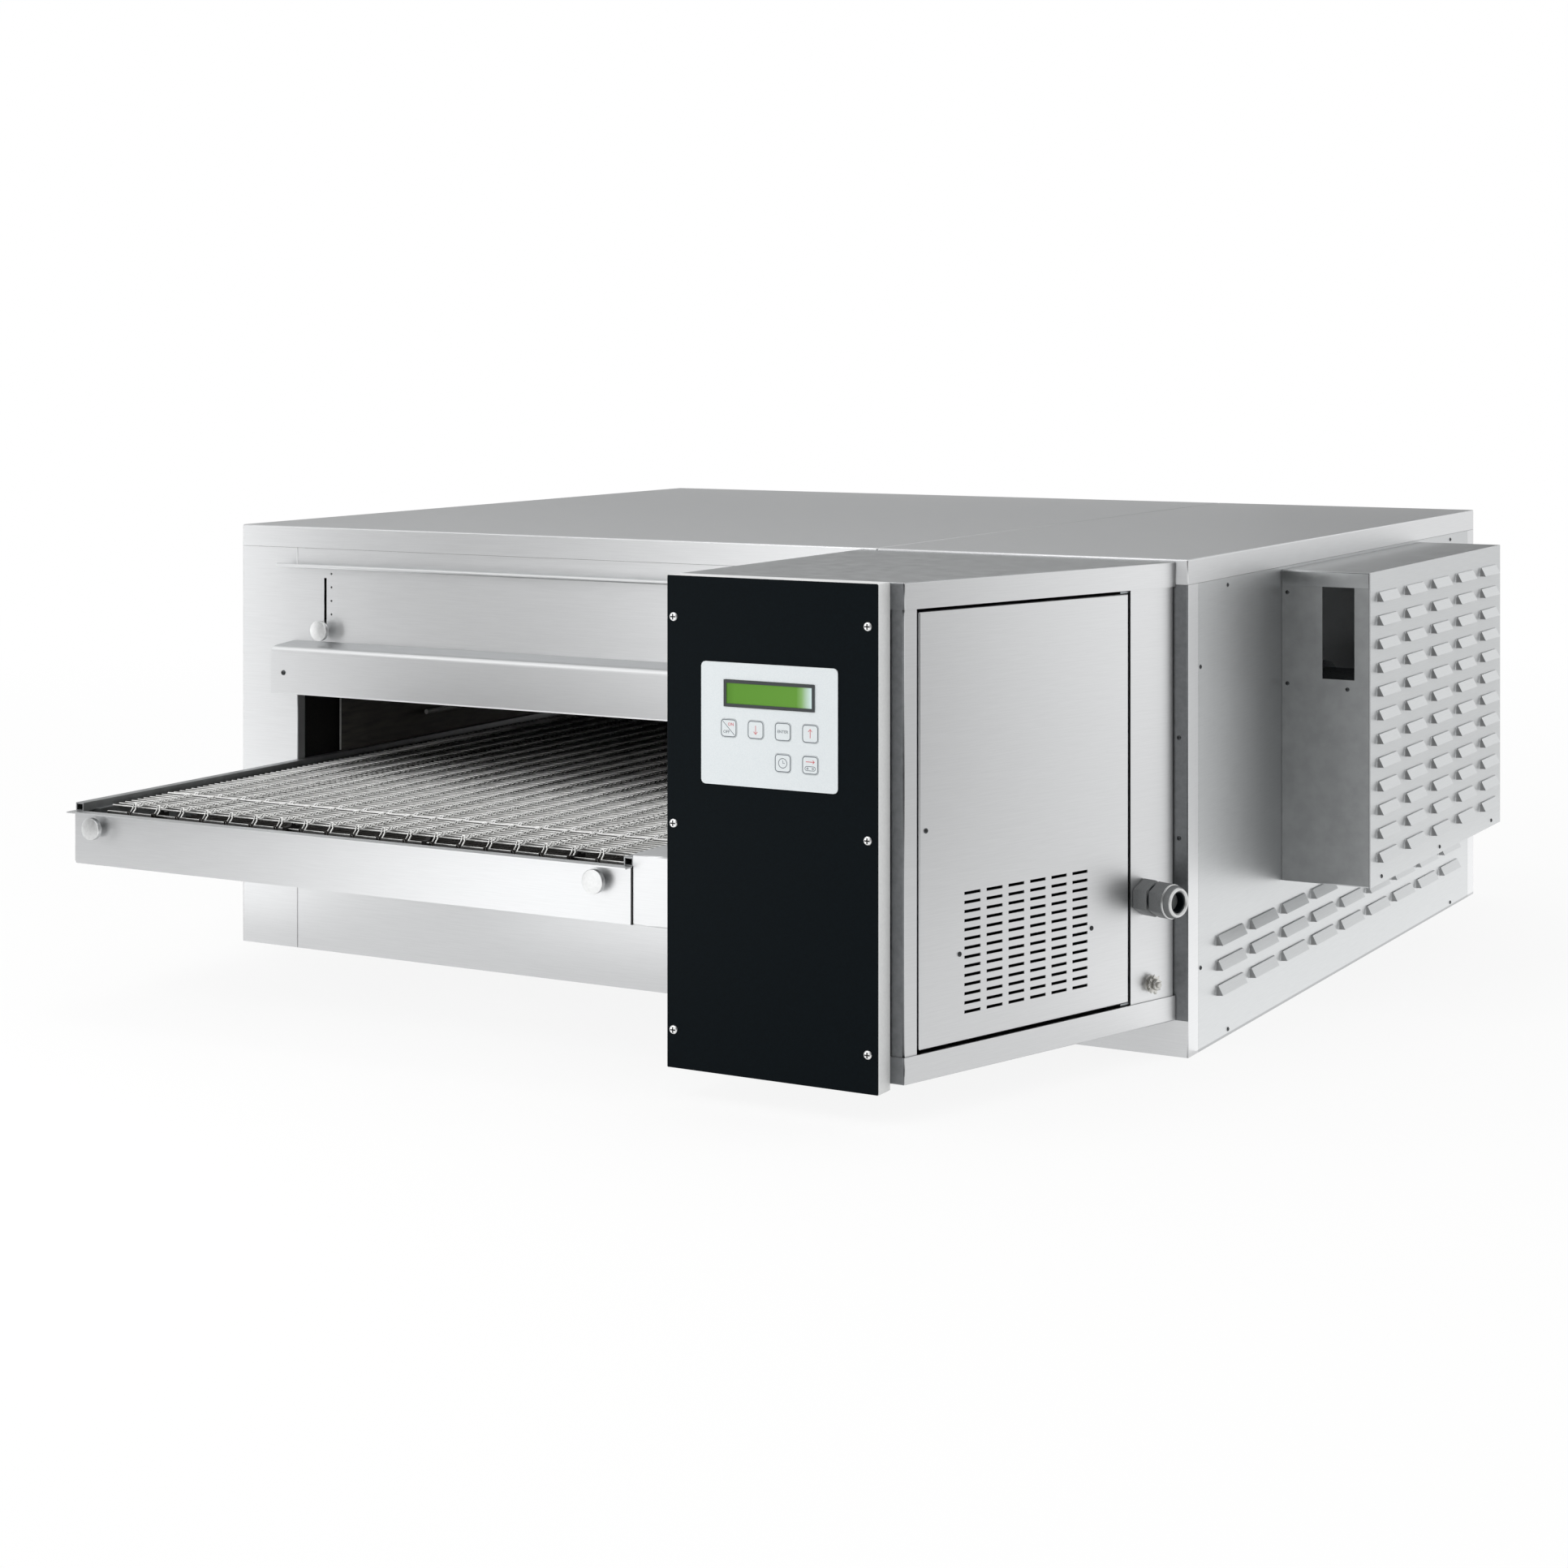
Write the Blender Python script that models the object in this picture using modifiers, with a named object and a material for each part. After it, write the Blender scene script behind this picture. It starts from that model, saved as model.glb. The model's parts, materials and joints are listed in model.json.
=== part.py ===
"""Conveyor pizza oven: a wire belt carries the food through a baking tunnel in a stainless casing.

Metres, +Z up. X runs across the belt, Y along it, and the origin lies in the middle of the casing's base.
The front mouth faces -Y, with the control cabinet at its right; the fan motors are on the +X side.
"""

import math

import bmesh
import bpy
from mathutils import Matrix, Vector

# Casing
BODY_D = 1.1504
BODY_H = 0.565
SHEET = 0.0015
GAP = 0.0003
POST_W = 0.094
FAN_SIDE_W = 0.472
SEAM_SET = 0.076
POST_RETURN = 0.032
JAMB_RETURN = 0.015
COVER_FLANGE = 0.0285
PAN_FLANGE = 0.020

# Mouth, with its upper panel and the visor that slides up and down
SILL_Z = 0.180
SILL_RETURN = 0.026
PANEL_OVERLAP = 0.0238
PANEL_H = 0.109
LIP_DROP = 0.024
LIP_OUT = 0.0165
VISOR_LAP = 0.0027
VISOR_H = 0.0629
VISOR_OUT = 0.0285
SLIDE_OVER = 0.012
SLIDE_SIDE = 0.012
KNOB_INSET = 0.0477
KNOB_UP = 0.0245
KNOB_R = 0.0135
KNOB_T = 0.006
KNOB_OUT = 0.012
STEM_R = 0.0017
SLOT_W = 0.004
SLOT_L = 0.0716
MARK_INSET = 0.0578
MARK_UP = 0.0214
MARK_PITCH = 0.018
MARK_R = 0.0015

# Baking chamber
LINER_SET = 0.095
TUNNEL_LOW = 0.1705
TUNNEL_OVER = 0.0062
UPPER_BOX_H = 0.1205
LOWER_BOX_LOW = 0.085
JET_L = 0.19
JET_W = 0.012
JET_ROWS = 7
JET_COLS = 3
END_SLAB_SET = 0.030
FAN_WALL = 0.082
FAN_PITCH = 0.286
FAN_CLEAR = 0.0095
FAN_W = 0.075
FAN_HUB = 0.028
FAN_SHAFT_R = 0.0075
FAN_SHEET = 0.003
BLADES = 10
FAN_MOTOR_R = 0.058
FAN_MOTOR_L = 0.092
HEATER_R = 0.0042
HEATER_BEND = 0.032
HEATER_SET = 0.105
HEATER_PITCH = 0.135

# Motor cover on the right side, and the pressed louvres
COVER_Y0 = -0.2619
COVER_Y1 = 0.3108
COVER_OUT = 0.1123
COVER_LOW = 0.152
COVER_DROP = 0.0035
CAP_FLANGE = 0.019
WINDOW_X = 0.0519
WINDOW_W = 0.0404
WINDOW_H = 0.112
HOOD_OUT = 0.0105
HOOD_H = 0.015
HOOD_SHEET = 0.0012
COVER_HOOD_L = 0.081
COVER_HOOD_PITCH = 0.1115
COVER_HOOD_UP = 0.0276
COVER_HOOD_DROP = 0.0366
COVER_HOOD_COLS = 5
COVER_HOOD_ROWS = 12
SIDE_HOOD_L = 0.092
SIDE_HOOD_PITCH = 0.1108
SIDE_HOOD_LOW = 0.054
SIDE_HOOD_ROW = 0.029
SIDE_HOOD_COLS = 9
SIDE_HOOD_ROWS = 3

# Conveyor
TRAY_OUT = 0.431
TRAY_LIP = 0.015
TRAY_TOP = 0.2425
TRAY_CHAMFER = 0.004
DRAWER_L = 0.410
DRAWER_WALL = 0.2035
DRAWER_KNOB_INSET = 0.0362
DRAWER_KNOB_Z = 0.225
RAIL_CLEAR = 0.0006
RAIL_FLANGE = 0.014
TUBE_W = 0.012
TUBE_H = 0.010
RAIL_TOP = 0.253
BELT_W = 0.750
BELT_SIDE = 0.02375
BELT_NOSE = 0.410
BELT_TOP = 0.250
BELT_R = 0.020
BELT_WIRE = 0.001
RUNG_PITCH = 0.025
SHAFT_R = 0.008
WHEEL_TEETH = 8
WHEELS = 4
BEARING_W = 0.017
SUPPORT_R = 0.003
CROSS_R = 0.004
CHAIN_R = 0.0205
CHAIN_TEETH = 12
CHAIN_T = 0.0035
CHAIN_W = 0.005
MOTOR_OUT = 0.240

# Control cabinet: front and left side square to the casing, right side slanted
DRIVE_W = 0.0505
CAB_OUT = 0.416
CAB_FRONT_W = 0.2705
CAB_BACK_SET = 0.0142
CAB_LOW = 0.0415
CAB_DROP = 0.0025
CAB_FLANGE = 0.0285
DOOR_START = 0.0242
DOOR_W = 0.3327
DOOR_GAP = 0.0036
DOOR_DEPTH = 0.012
PIN_R = 0.0015
PIN_SET = 0.006
PIN_DEPTH = 0.005
VENT_COLS = 6
VENT_ROWS = 14
VENT_S = 0.1045
VENT_LOW = 0.1035
VENT_PITCH = 0.0342
VENT_ROW = 0.00965
VENT_L = 0.0248
VENT_H = 0.0033
PANEL_W = 0.2545
PANEL_DEPTH = 0.027
PANEL_Z0 = 0.035
PANEL_SHEET = 0.002
KEYPAD_X = 0.0435
KEYPAD_W = 0.1643
KEYPAD_DROP = 0.0898
KEYPAD_H = 0.1301
KEYPAD_T = 0.0012
KEY_W = 0.0196
KEY_CLEAR = 0.0003
KEY_T = 0.0024
KEY_PITCH = 0.0327
KEY_DROP = 0.0695
KEY_ROW = 0.0328
DISPLAY_X = 0.0715
DISPLAY_W = 0.1095
DISPLAY_DROP = 0.0182
DISPLAY_H = 0.0285
GLAND_S = 0.382
GLAND_Z = 0.189
GLAND_R = 0.021
GLAND_L = 0.060
EARTH_S = 0.3945
EARTH_Z = 0.0895
GEARBOX_W = 0.070
GEARBOX_H = 0.090
GEAR_MOTOR_R = 0.038
GEAR_MOTOR_L = 0.105
GEAR_SHAFT_R = 0.006
CONTACTOR_H = 0.080
CONTACTOR_D = 0.080
TERMINAL_H = 0.035

# Places that follow from the sizes above
MOUTH_W = BELT_W + 2 * BELT_SIDE
BODY_W = POST_W + MOUTH_W + FAN_SIDE_W
XL = -BODY_W / 2
XR = BODY_W / 2
YE = BODY_D / 2
MX0 = XL + POST_W
MX1 = MX0 + MOUTH_W
SEAM_X = MX1 + SEAM_SET
FLANGE_Z = BODY_H - COVER_FLANGE
LIP_Z = FLANGE_Z - LIP_DROP
PANEL_LOW = LIP_Z - PANEL_H
VISOR_TOP = PANEL_LOW + VISOR_LAP
VISOR_LOW = VISOR_TOP - VISOR_H
KNOB_Z = PANEL_LOW + KNOB_UP
SLIDE_TOP = KNOB_Z + SLIDE_OVER
SLOT_LOW = KNOB_Z - STEM_R - GAP
SLOT_TOP = SLOT_LOW + SLOT_L
TUNNEL_TOP = VISOR_LOW + TUNNEL_OVER
UPPER_BOX_TOP = TUNNEL_TOP + UPPER_BOX_H
COVER_TOP = FLANGE_Z - COVER_DROP
CAP_LOW = COVER_TOP - CAP_FLANGE
WINDOW_LOW = CAP_LOW - WINDOW_H
FAN_Z = (COVER_LOW + COVER_TOP) / 2
FAN_R = UPPER_BOX_TOP - FAN_Z - FAN_CLEAR
CAB_TOP = BODY_H - CAB_DROP
DOOR_LOW = CAB_LOW + CAB_FLANGE + DOOR_GAP
DOOR_TOP = CAB_TOP - CAB_FLANGE - DOOR_GAP
KEYPAD_Z1 = CAB_TOP - KEYPAD_DROP
KEYPAD_Z0 = KEYPAD_Z1 - KEYPAD_H
KEY_ROW_Z = KEYPAD_Z1 - KEY_DROP
DISPLAY_Z1 = KEYPAD_Z1 - DISPLAY_DROP
DISPLAY_Z0 = DISPLAY_Z1 - DISPLAY_H
CHAMBER = YE - LINER_SET
FAN_X = XR - FAN_WALL
FAN_MID = (COVER_Y0 + COVER_Y1) / 2
SLIDE_V = -JAMB_RETURN - GAP
AXLE_Y = YE + BELT_NOSE - BELT_R
AXLE_Z = BELT_TOP - BELT_R
BELT_X = (MX0 + MX1) / 2
WIRE_PATH_R = BELT_R - BELT_WIRE
WHEEL_R = BELT_R - 2 * BELT_WIRE - GAP
RAIL0 = MX0 + RAIL_CLEAR
RAIL1 = MX1 - RAIL_CLEAR
CAB_X0 = MX1 + DRIVE_W
CAB_INSET = SHEET + GAP
PANEL_FACE = CAB_OUT + PANEL_DEPTH
ENDS = ((-1, "front"), (1, "rear"))

# Colour, metalness and roughness of each finish
FINISHES = {
    "stainless": ((0.60, 0.61, 0.62), 1.0, 0.33),
    "galvanised": ((0.50, 0.52, 0.54), 1.0, 0.45),
    "wire": ((0.52, 0.52, 0.53), 1.0, 0.35),
    "black_enamel": ((0.012, 0.014, 0.017), 0.0, 0.35),
    "turned_steel": ((0.60, 0.61, 0.62), 1.0, 0.30),
    "grey_plastic": ((0.45, 0.46, 0.46), 0.0, 0.5),
    "keypad_grey": ((0.62, 0.66, 0.69), 0.0, 0.4),
    "green_glass": ((0.14, 0.30, 0.04), 0.0, 0.1),
    "mineral_wool": ((0.55, 0.50, 0.36), 0.0, 0.95),
    "cast_aluminium": ((0.55, 0.56, 0.57), 1.0, 0.5),
    "brass": ((0.60, 0.45, 0.18), 1.0, 0.35),
}

for old in list(bpy.data.objects):
    bpy.data.objects.remove(old, do_unlink=True)

PARTS = bpy.data.collections.new("conveyor_pizza_oven")
CUTTERS = bpy.data.collections.new("cutters")
for group in (PARTS, CUTTERS):
    bpy.context.scene.collection.children.link(group)

# From a profile drawn in (Y, Z) and run along X
ACROSS = Matrix(((0, 0, 1, 0), (1, 0, 0, 0), (0, 1, 0, 0), (0, 0, 0, 1)))
# From a profile drawn in (X, Z) and run along Y
ALONG = Matrix(((1, 0, 0, 0), (0, 0, 1, 0), (0, 1, 0, 0), (0, 0, 0, 1)))
# From a turned shape's own Z axis to X
TO_X = Matrix.Rotation(math.pi / 2, 4, "Y")


def at(x=0.0, y=0.0, z=0.0):
    return Matrix.Translation((x, y, z))


def facing(end):
    """From a profile drawn in (distance outside an end face, Z) and run along X."""
    return Matrix(((0, 0, 1, 0), (end, 0, 0, end * YE), (0, 1, 0, 0), (0, 0, 0, 1)))


def outward(end, x, z):
    """From a turned shape's own Z axis to the direction out of an end face."""
    return at(x, end * YE, z) @ Matrix.Rotation(-end * math.pi / 2, 4, "X")


def add(bm, part, place):
    """Puts one mesh into another at a place."""
    bmesh.ops.transform(part, matrix=place, verts=part.verts)
    mesh = bpy.data.meshes.new("part")
    part.to_mesh(mesh)
    part.free()
    bm.from_mesh(mesh)
    bpy.data.meshes.remove(mesh)


def slab(bm, low, high, place=Matrix()):
    """A box between two corners."""
    low = Vector(low)
    high = Vector(high)
    size = Matrix.Diagonal((high - low).to_4d())
    bmesh.ops.create_cube(bm, size=1, matrix=place @ Matrix.Translation((low + high) / 2) @ size)


def end_slab(bm, end, xs, vs, zs):
    """A box given by its distances outside an end face."""
    ys = sorted(end * (YE + v) for v in vs)
    slab(bm, (xs[0], ys[0], zs[0]), (xs[1], ys[1], zs[1]))


def rod(bm, start, end, radius, sides=12, place=Matrix()):
    """A round bar between two points."""
    start = Vector(start)
    end = Vector(end)
    run = end - start
    turn = run.to_track_quat("Z", "Y").to_matrix().to_4x4()
    seat = place @ Matrix.Translation((start + end) / 2) @ turn
    bmesh.ops.create_cone(
        bm, cap_ends=True, segments=sides, radius1=radius, radius2=radius, depth=run.length, matrix=seat
    )


def prism(bm, loop, depth, place=Matrix()):
    """A closed outline without holes, run along its third axis."""
    part = bmesh.new()
    verts = [part.verts.new((u, w, 0)) for u, w in loop]
    edges = [part.edges.new((verts[i - 1], verts[i])) for i in range(len(verts))]
    bmesh.ops.contextual_create(part, geom=edges)
    swept = bmesh.ops.extrude_face_region(part, geom=part.faces[:])
    moved = [item for item in swept["geom"] if isinstance(item, bmesh.types.BMVert)]
    bmesh.ops.translate(part, verts=moved, vec=(0, 0, depth))
    add(bm, part, place)


def profile(bm, loops, depth, place=Matrix()):
    """An outline with holes in it, run along its third axis."""
    curve = bpy.data.curves.new("profile", "CURVE")
    curve.dimensions = "2D"
    curve.fill_mode = "BOTH"
    curve.extrude = depth / 2
    for loop in loops:
        spline = curve.splines.new("POLY")
        spline.points.add(len(loop) - 1)
        spline.use_cyclic_u = True
        for point, (u, w) in zip(spline.points, loop):
            point.co = (u, w, 0, 1)
    holder = bpy.data.objects.new("profile", curve)
    mesh = bpy.data.meshes.new_from_object(holder)
    part = bmesh.new()
    part.from_mesh(mesh)
    bpy.data.objects.remove(holder)
    bpy.data.curves.remove(curve)
    bpy.data.meshes.remove(mesh)
    bmesh.ops.remove_doubles(part, verts=part.verts, dist=0.00001)
    add(bm, part, place @ at(z=depth / 2))


def turned(bm, points, place=Matrix(), sides=20, ring=False):
    """A solid of revolution round its own Z axis, from (radius, height) points; a ring's points close."""
    part = bmesh.new()
    verts = [part.verts.new((r, 0, h)) for r, h in points]
    edges = [part.edges.new(pair) for pair in zip(verts, verts[1:])]
    if ring:
        edges.append(part.edges.new((verts[-1], verts[0])))
    bmesh.ops.spin(
        part, geom=verts + edges, axis=(0, 0, 1), angle=math.tau, steps=sides, use_merge=True
    )
    bmesh.ops.remove_doubles(part, verts=part.verts, dist=0.000001)
    add(bm, part, place)


def tube(bm, points, radius, closed=False, round_steps=2):
    """A wire bent along a path of points."""
    curve = bpy.data.curves.new("wire", "CURVE")
    curve.dimensions = "3D"
    curve.bevel_depth = radius
    curve.bevel_resolution = round_steps
    curve.use_fill_caps = not closed
    spline = curve.splines.new("POLY")
    spline.points.add(len(points) - 1)
    spline.use_cyclic_u = closed
    for point, place in zip(spline.points, points):
        point.co = (*place, 1)
    holder = bpy.data.objects.new("wire", curve)
    mesh = bpy.data.meshes.new_from_object(holder)
    part = bmesh.new()
    part.from_mesh(mesh)
    bpy.data.objects.remove(holder)
    bpy.data.curves.remove(curve)
    bpy.data.meshes.remove(mesh)
    bmesh.ops.remove_doubles(part, verts=part.verts, dist=0.00001)
    add(bm, part, Matrix())


def bent(path, thickness=SHEET):
    """The outline of a sheet of one thickness that follows a path of centre points."""
    points = [Vector(point) for point in path]
    runs = [(b - a).normalized() for a, b in zip(points, points[1:])]
    left = []
    right = []
    for index, point in enumerate(points):
        before = runs[max(index - 1, 0)]
        after = runs[min(index, len(runs) - 1)]
        side = Vector((-before.y - after.y, before.x + after.x)).normalized()
        reach = side * thickness / 2 / side.dot(Vector((-before.y, before.x)))
        left.append(point + reach)
        right.append(point - reach)
    return left + right[::-1]


def circle(radius, sides, u=0.0, w=0.0):
    """A circle's outline; a bore's flats stay outside the radius when it is made with bore()."""
    turns = [math.tau * i / sides for i in range(sides)]
    return [(u + radius * math.cos(a), w + radius * math.sin(a)) for a in turns]


def bore(radius, sides):
    return (radius + GAP) / math.cos(math.pi / sides)


def toothed(count, root, tip):
    """The outline of a toothed wheel."""
    loop = []
    for i in range(count * 2):
        radius = root if i % 2 else tip
        angle = math.pi * i / count
        loop.append((radius * math.cos(angle), radius * math.sin(angle)))
    return loop


def rounded(low, high, radius, steps=3):
    """A rectangle's outline with rounded corners."""
    corners = (
        (high[0] - radius, high[1] - radius, 0.0),
        (low[0] + radius, high[1] - radius, 0.25),
        (low[0] + radius, low[1] + radius, 0.5),
        (high[0] - radius, low[1] + radius, 0.75),
    )
    loop = []
    for u, w, start in corners:
        for i in range(steps + 1):
            angle = math.tau * (start + 0.25 * i / steps)
            loop.append((u + radius * math.cos(angle), w + radius * math.sin(angle)))
    return loop


def inset(loop, distance):
    """A convex outline, counter-clockwise, moved inwards by a distance."""
    points = [Vector(point) for point in loop]
    count = len(points)
    result = []
    for i in range(count):
        before = (points[i] - points[i - 1]).normalized()
        after = (points[(i + 1) % count] - points[i]).normalized()
        side = Vector((-before.y - after.y, before.x + after.x)).normalized()
        result.append(points[i] + side * distance / side.dot(Vector((-after.y, after.x))))
    return result


def dress(obj, finish):
    """Gives a piece its own material."""
    colour, metal, rough = FINISHES[finish]
    material = bpy.data.materials.new(obj.name + "_" + finish)
    material.use_nodes = True
    shader = material.node_tree.nodes["Principled BSDF"]
    shader.inputs["Base Color"].default_value = (*colour, 1)
    shader.inputs["Metallic"].default_value = metal
    shader.inputs["Roughness"].default_value = rough
    obj.data.materials.append(material)


def piece(name, bm, finish, place=Matrix()):
    """Makes a node of the oven from a mesh drawn in the node's own frame."""
    bmesh.ops.recalc_face_normals(bm, faces=bm.faces)
    mesh = bpy.data.meshes.new(name)
    bm.to_mesh(mesh)
    bm.free()
    obj = bpy.data.objects.new(name, mesh)
    obj.matrix_world = place
    PARTS.objects.link(obj)
    dress(obj, finish)
    return obj


def cut(obj, bm, operation="DIFFERENCE", place=None):
    """Cuts a mesh out of a piece, or joins it on."""
    bmesh.ops.recalc_face_normals(bm, faces=bm.faces)
    mesh = bpy.data.meshes.new(obj.name + "_" + operation.lower())
    bm.to_mesh(mesh)
    bm.free()
    tool = bpy.data.objects.new(mesh.name, mesh)
    tool.matrix_world = obj.matrix_world if place is None else place
    tool.hide_render = True
    tool.display_type = "WIRE"
    CUTTERS.objects.link(tool)
    step = obj.modifiers.new(operation.lower(), "BOOLEAN")
    step.operation = operation
    step.solver = "EXACT"
    step.object = tool


def sheet_box(name, low, high, open_sides, finish, wall=SHEET, place=Matrix()):
    """A box folded from sheet, without the sides whose directions are given."""
    bm = bmesh.new()
    slab(bm, low, high)
    gone = [f for f in bm.faces if any(f.normal.dot(Vector(side)) > 0.9 for side in open_sides)]
    bmesh.ops.delete(bm, geom=gone, context="FACES")
    return thicken(piece(name, bm, finish, place), wall)


def thicken(obj, wall):
    step = obj.modifiers.new("sheet", "SOLIDIFY")
    step.thickness = wall
    step.offset = -1
    step.use_even_offset = True
    return obj


UP = (0, 0, 1)
DOWN = (0, 0, -1)
LEFT = (-1, 0, 0)
RIGHT = (1, 0, 0)


# Louvres: hoods pressed out of a sheet, open underneath and closed at their ends
def louvres(obj, x, spots, length):
    """Presses a hood at each (Y of its middle, Z of its lower edge) into a sheet whose face is at x."""
    run = math.hypot(HOOD_OUT, HOOD_H)
    inside = HOOD_SHEET * run / HOOD_H
    slope = HOOD_H / HOOD_OUT
    hoods = bmesh.new()
    hollows = bmesh.new()
    through = 2 * SHEET
    dip = 0.0004
    for y, z in spots:
        outer = (
            (-SHEET / 2, z + HOOD_H + slope * SHEET / 2),
            (-SHEET / 2, z),
            (HOOD_OUT, z),
        )
        inner = (
            (-through, z + HOOD_H + slope * (through - inside)),
            (-through, z - dip),
            (HOOD_OUT - inside + dip / slope, z - dip),
        )
        back = y + length / 2
        prism(hoods, outer, length, at(x, back) @ Matrix.Rotation(math.pi / 2, 4, "X"))
        prism(
            hollows,
            inner,
            length - 2 * HOOD_SHEET,
            at(x, back - HOOD_SHEET) @ Matrix.Rotation(math.pi / 2, 4, "X"),
        )
    cut(obj, hoods, "UNION")
    cut(obj, hollows)


def grid(first, pitch, count):
    return [first + pitch * i for i in range(count)]


# Base pan and side panels
sheet_box(
    "base_pan",
    (XL + CAB_INSET, -YE + JAMB_RETURN + GAP, 0),
    (XR - CAB_INSET, YE - JAMB_RETURN - GAP, PAN_FLANGE),
    [UP],
    "galvanised",
)
SIDE_Y = YE - POST_RETURN - GAP
bm = bmesh.new()
slab(bm, (XL, -SIDE_Y, 0), (XL + SHEET, SIDE_Y, FLANGE_Z - GAP))
piece("left_side_panel", bm, "stainless")

bm = bmesh.new()
slab(bm, (XR - SHEET, -SIDE_Y, 0), (XR, SIDE_Y, FLANGE_Z - GAP))
right_side = piece("right_side_panel", bm, "stainless")
columns = grid(-SIDE_HOOD_PITCH * (SIDE_HOOD_COLS - 1) / 2, SIDE_HOOD_PITCH, SIDE_HOOD_COLS)
rows = grid(SIDE_HOOD_LOW, SIDE_HOOD_ROW, SIDE_HOOD_ROWS)
louvres(right_side, XR, [(y, z) for z in rows for y in columns], SIDE_HOOD_L)
FAN_YS = (FAN_MID - FAN_PITCH / 2, FAN_MID + FAN_PITCH / 2)
bm = bmesh.new()
for y in FAN_YS:
    rod(bm, (XR - 0.01, y, FAN_Z), (XR + 0.01, y, FAN_Z), FAN_SHAFT_R * 1.5)
cut(right_side, bm)

# Top covers, which meet at a seam over the fan compartment
for name, x0, x1 in (
    ("left_top_cover", XL, SEAM_X - GAP / 2),
    ("right_top_cover", SEAM_X + GAP / 2, XR),
):
    sheet_box(name, (x0, -YE, FLANGE_Z), (x1, YE, BODY_H), [DOWN], "stainless")

# Ends of the casing, the same at the front and at the rear
for end, word in ENDS:
    for name, jamb, side, turn in (
        (word + "_left_post", MX0, XL, 1),
        (word + "_right_panel", MX1, XR, -1),
    ):
        plan = (
            (side, POST_RETURN),
            (side, 0),
            (jamb, 0),
            (jamb, JAMB_RETURN),
            (jamb - turn * SHEET, JAMB_RETURN),
            (jamb - turn * SHEET, SHEET),
            (side + turn * SHEET, SHEET),
            (side + turn * SHEET, POST_RETURN),
        )
        bm = bmesh.new()
        prism(bm, [(x, end * (YE - depth)) for x, depth in plan], FLANGE_Z - GAP)
        piece(name, bm, "stainless")

    # Lower panel under the belt, its top edge turned inwards to carry the rails
    bm = bmesh.new()
    sill = bent(
        ((-SHEET / 2, 0), (-SHEET / 2, SILL_Z - GAP - SHEET / 2), (-SILL_RETURN, SILL_Z - GAP - SHEET / 2))
    )
    prism(bm, sill, MOUTH_W - 2 * GAP, facing(end) @ at(z=MX0 + GAP))
    piece(word + "_lower_panel", bm, "stainless")

    # Upper panel: laps over the post, with a fold-out lip and a strip above it between the posts
    bm = bmesh.new()
    face = bent(
        (
            (GAP + SHEET / 2, PANEL_LOW),
            (GAP + SHEET / 2, LIP_Z + SHEET / 2),
            (LIP_OUT, LIP_Z + SHEET / 2),
        )
    )
    prism(bm, face, MOUTH_W + 2 * PANEL_OVERLAP, facing(end) @ at(z=MX0 - PANEL_OVERLAP))
    upper = piece(word + "_upper_panel", bm, "stainless")
    bm = bmesh.new()
    strip = (
        (-SHEET, LIP_Z + SHEET / 4),
        (GAP + SHEET / 2, LIP_Z + SHEET / 4),
        (GAP + SHEET / 2, LIP_Z + SHEET * 3 / 4),
        (0, LIP_Z + SHEET * 3 / 4),
        (0, FLANGE_Z - GAP),
        (-SHEET, FLANGE_Z - GAP),
    )
    prism(bm, strip, MOUTH_W - 2 * GAP, facing(end) @ at(z=MX0 + GAP))
    cut(upper, bm, "UNION")
    knob_x = MX0 + KNOB_INSET
    bm = bmesh.new()
    slot_x = (knob_x - SLOT_W / 2, knob_x + SLOT_W / 2)
    end_slab(bm, end, slot_x, (-SHEET, 0.005), (SLOT_LOW, SLOT_TOP))
    for z in grid(KNOB_Z + MARK_UP, MARK_PITCH, 4):
        turned(
            bm,
            ((0, -SHEET), (MARK_R, -SHEET), (MARK_R, 0.005), (0, 0.005)),
            outward(end, MX0 + MARK_INSET, z),
            8,
        )
    cut(upper, bm)

    # Visor: a sloping hood in front of the panel, turned in at its foot to a slide plate behind the jambs
    bm = bmesh.new()
    hood_v = GAP + SHEET + GAP
    hood = bent(
        (
            (hood_v + SHEET / 2, VISOR_TOP),
            (hood_v + 0.0028, VISOR_TOP - 0.0008),
            (hood_v + 0.0046, VISOR_TOP - 0.0026),
            (hood_v + 0.0057, VISOR_TOP - 0.0052),
            (VISOR_OUT - SHEET / 2, VISOR_LOW),
        )
    )
    prism(bm, hood, MOUTH_W + 2 * PANEL_OVERLAP, facing(end) @ at(z=MX0 - PANEL_OVERLAP))
    visor = piece(word + "_visor", bm, "stainless")
    bm = bmesh.new()
    foot = (SLIDE_V - SHEET, VISOR_OUT - SHEET)
    end_slab(bm, end, (MX0 + 4 * GAP, MX1 - 4 * GAP), foot, (VISOR_LOW + 0.001, VISOR_LOW + 0.001 + SHEET))
    cut(visor, bm, "UNION")
    bm = bmesh.new()
    slide = (SLIDE_V - SHEET, SLIDE_V)
    end_slab(bm, end, (MX0 - SLIDE_SIDE, MX1 + SLIDE_SIDE), slide, (VISOR_LOW + 0.0005, SLIDE_TOP))
    cut(visor, bm, "UNION")

    # Knob that clamps the visor through the slot
    bm = bmesh.new()
    turned(
        bm,
        (
            (0, SLIDE_V + GAP),
            (STEM_R, SLIDE_V + GAP),
            (STEM_R, KNOB_OUT),
            (KNOB_R * 0.6, KNOB_OUT),
            (KNOB_R, KNOB_OUT + KNOB_T * 0.25),
            (KNOB_R, KNOB_OUT + KNOB_T * 0.75),
            (KNOB_R * 0.85, KNOB_OUT + KNOB_T),
            (0, KNOB_OUT + KNOB_T),
        ),
        outward(end, knob_x, KNOB_Z),
        16,
    )
    piece(word + "_shutter_knob", bm, "turned_steel")

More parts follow.
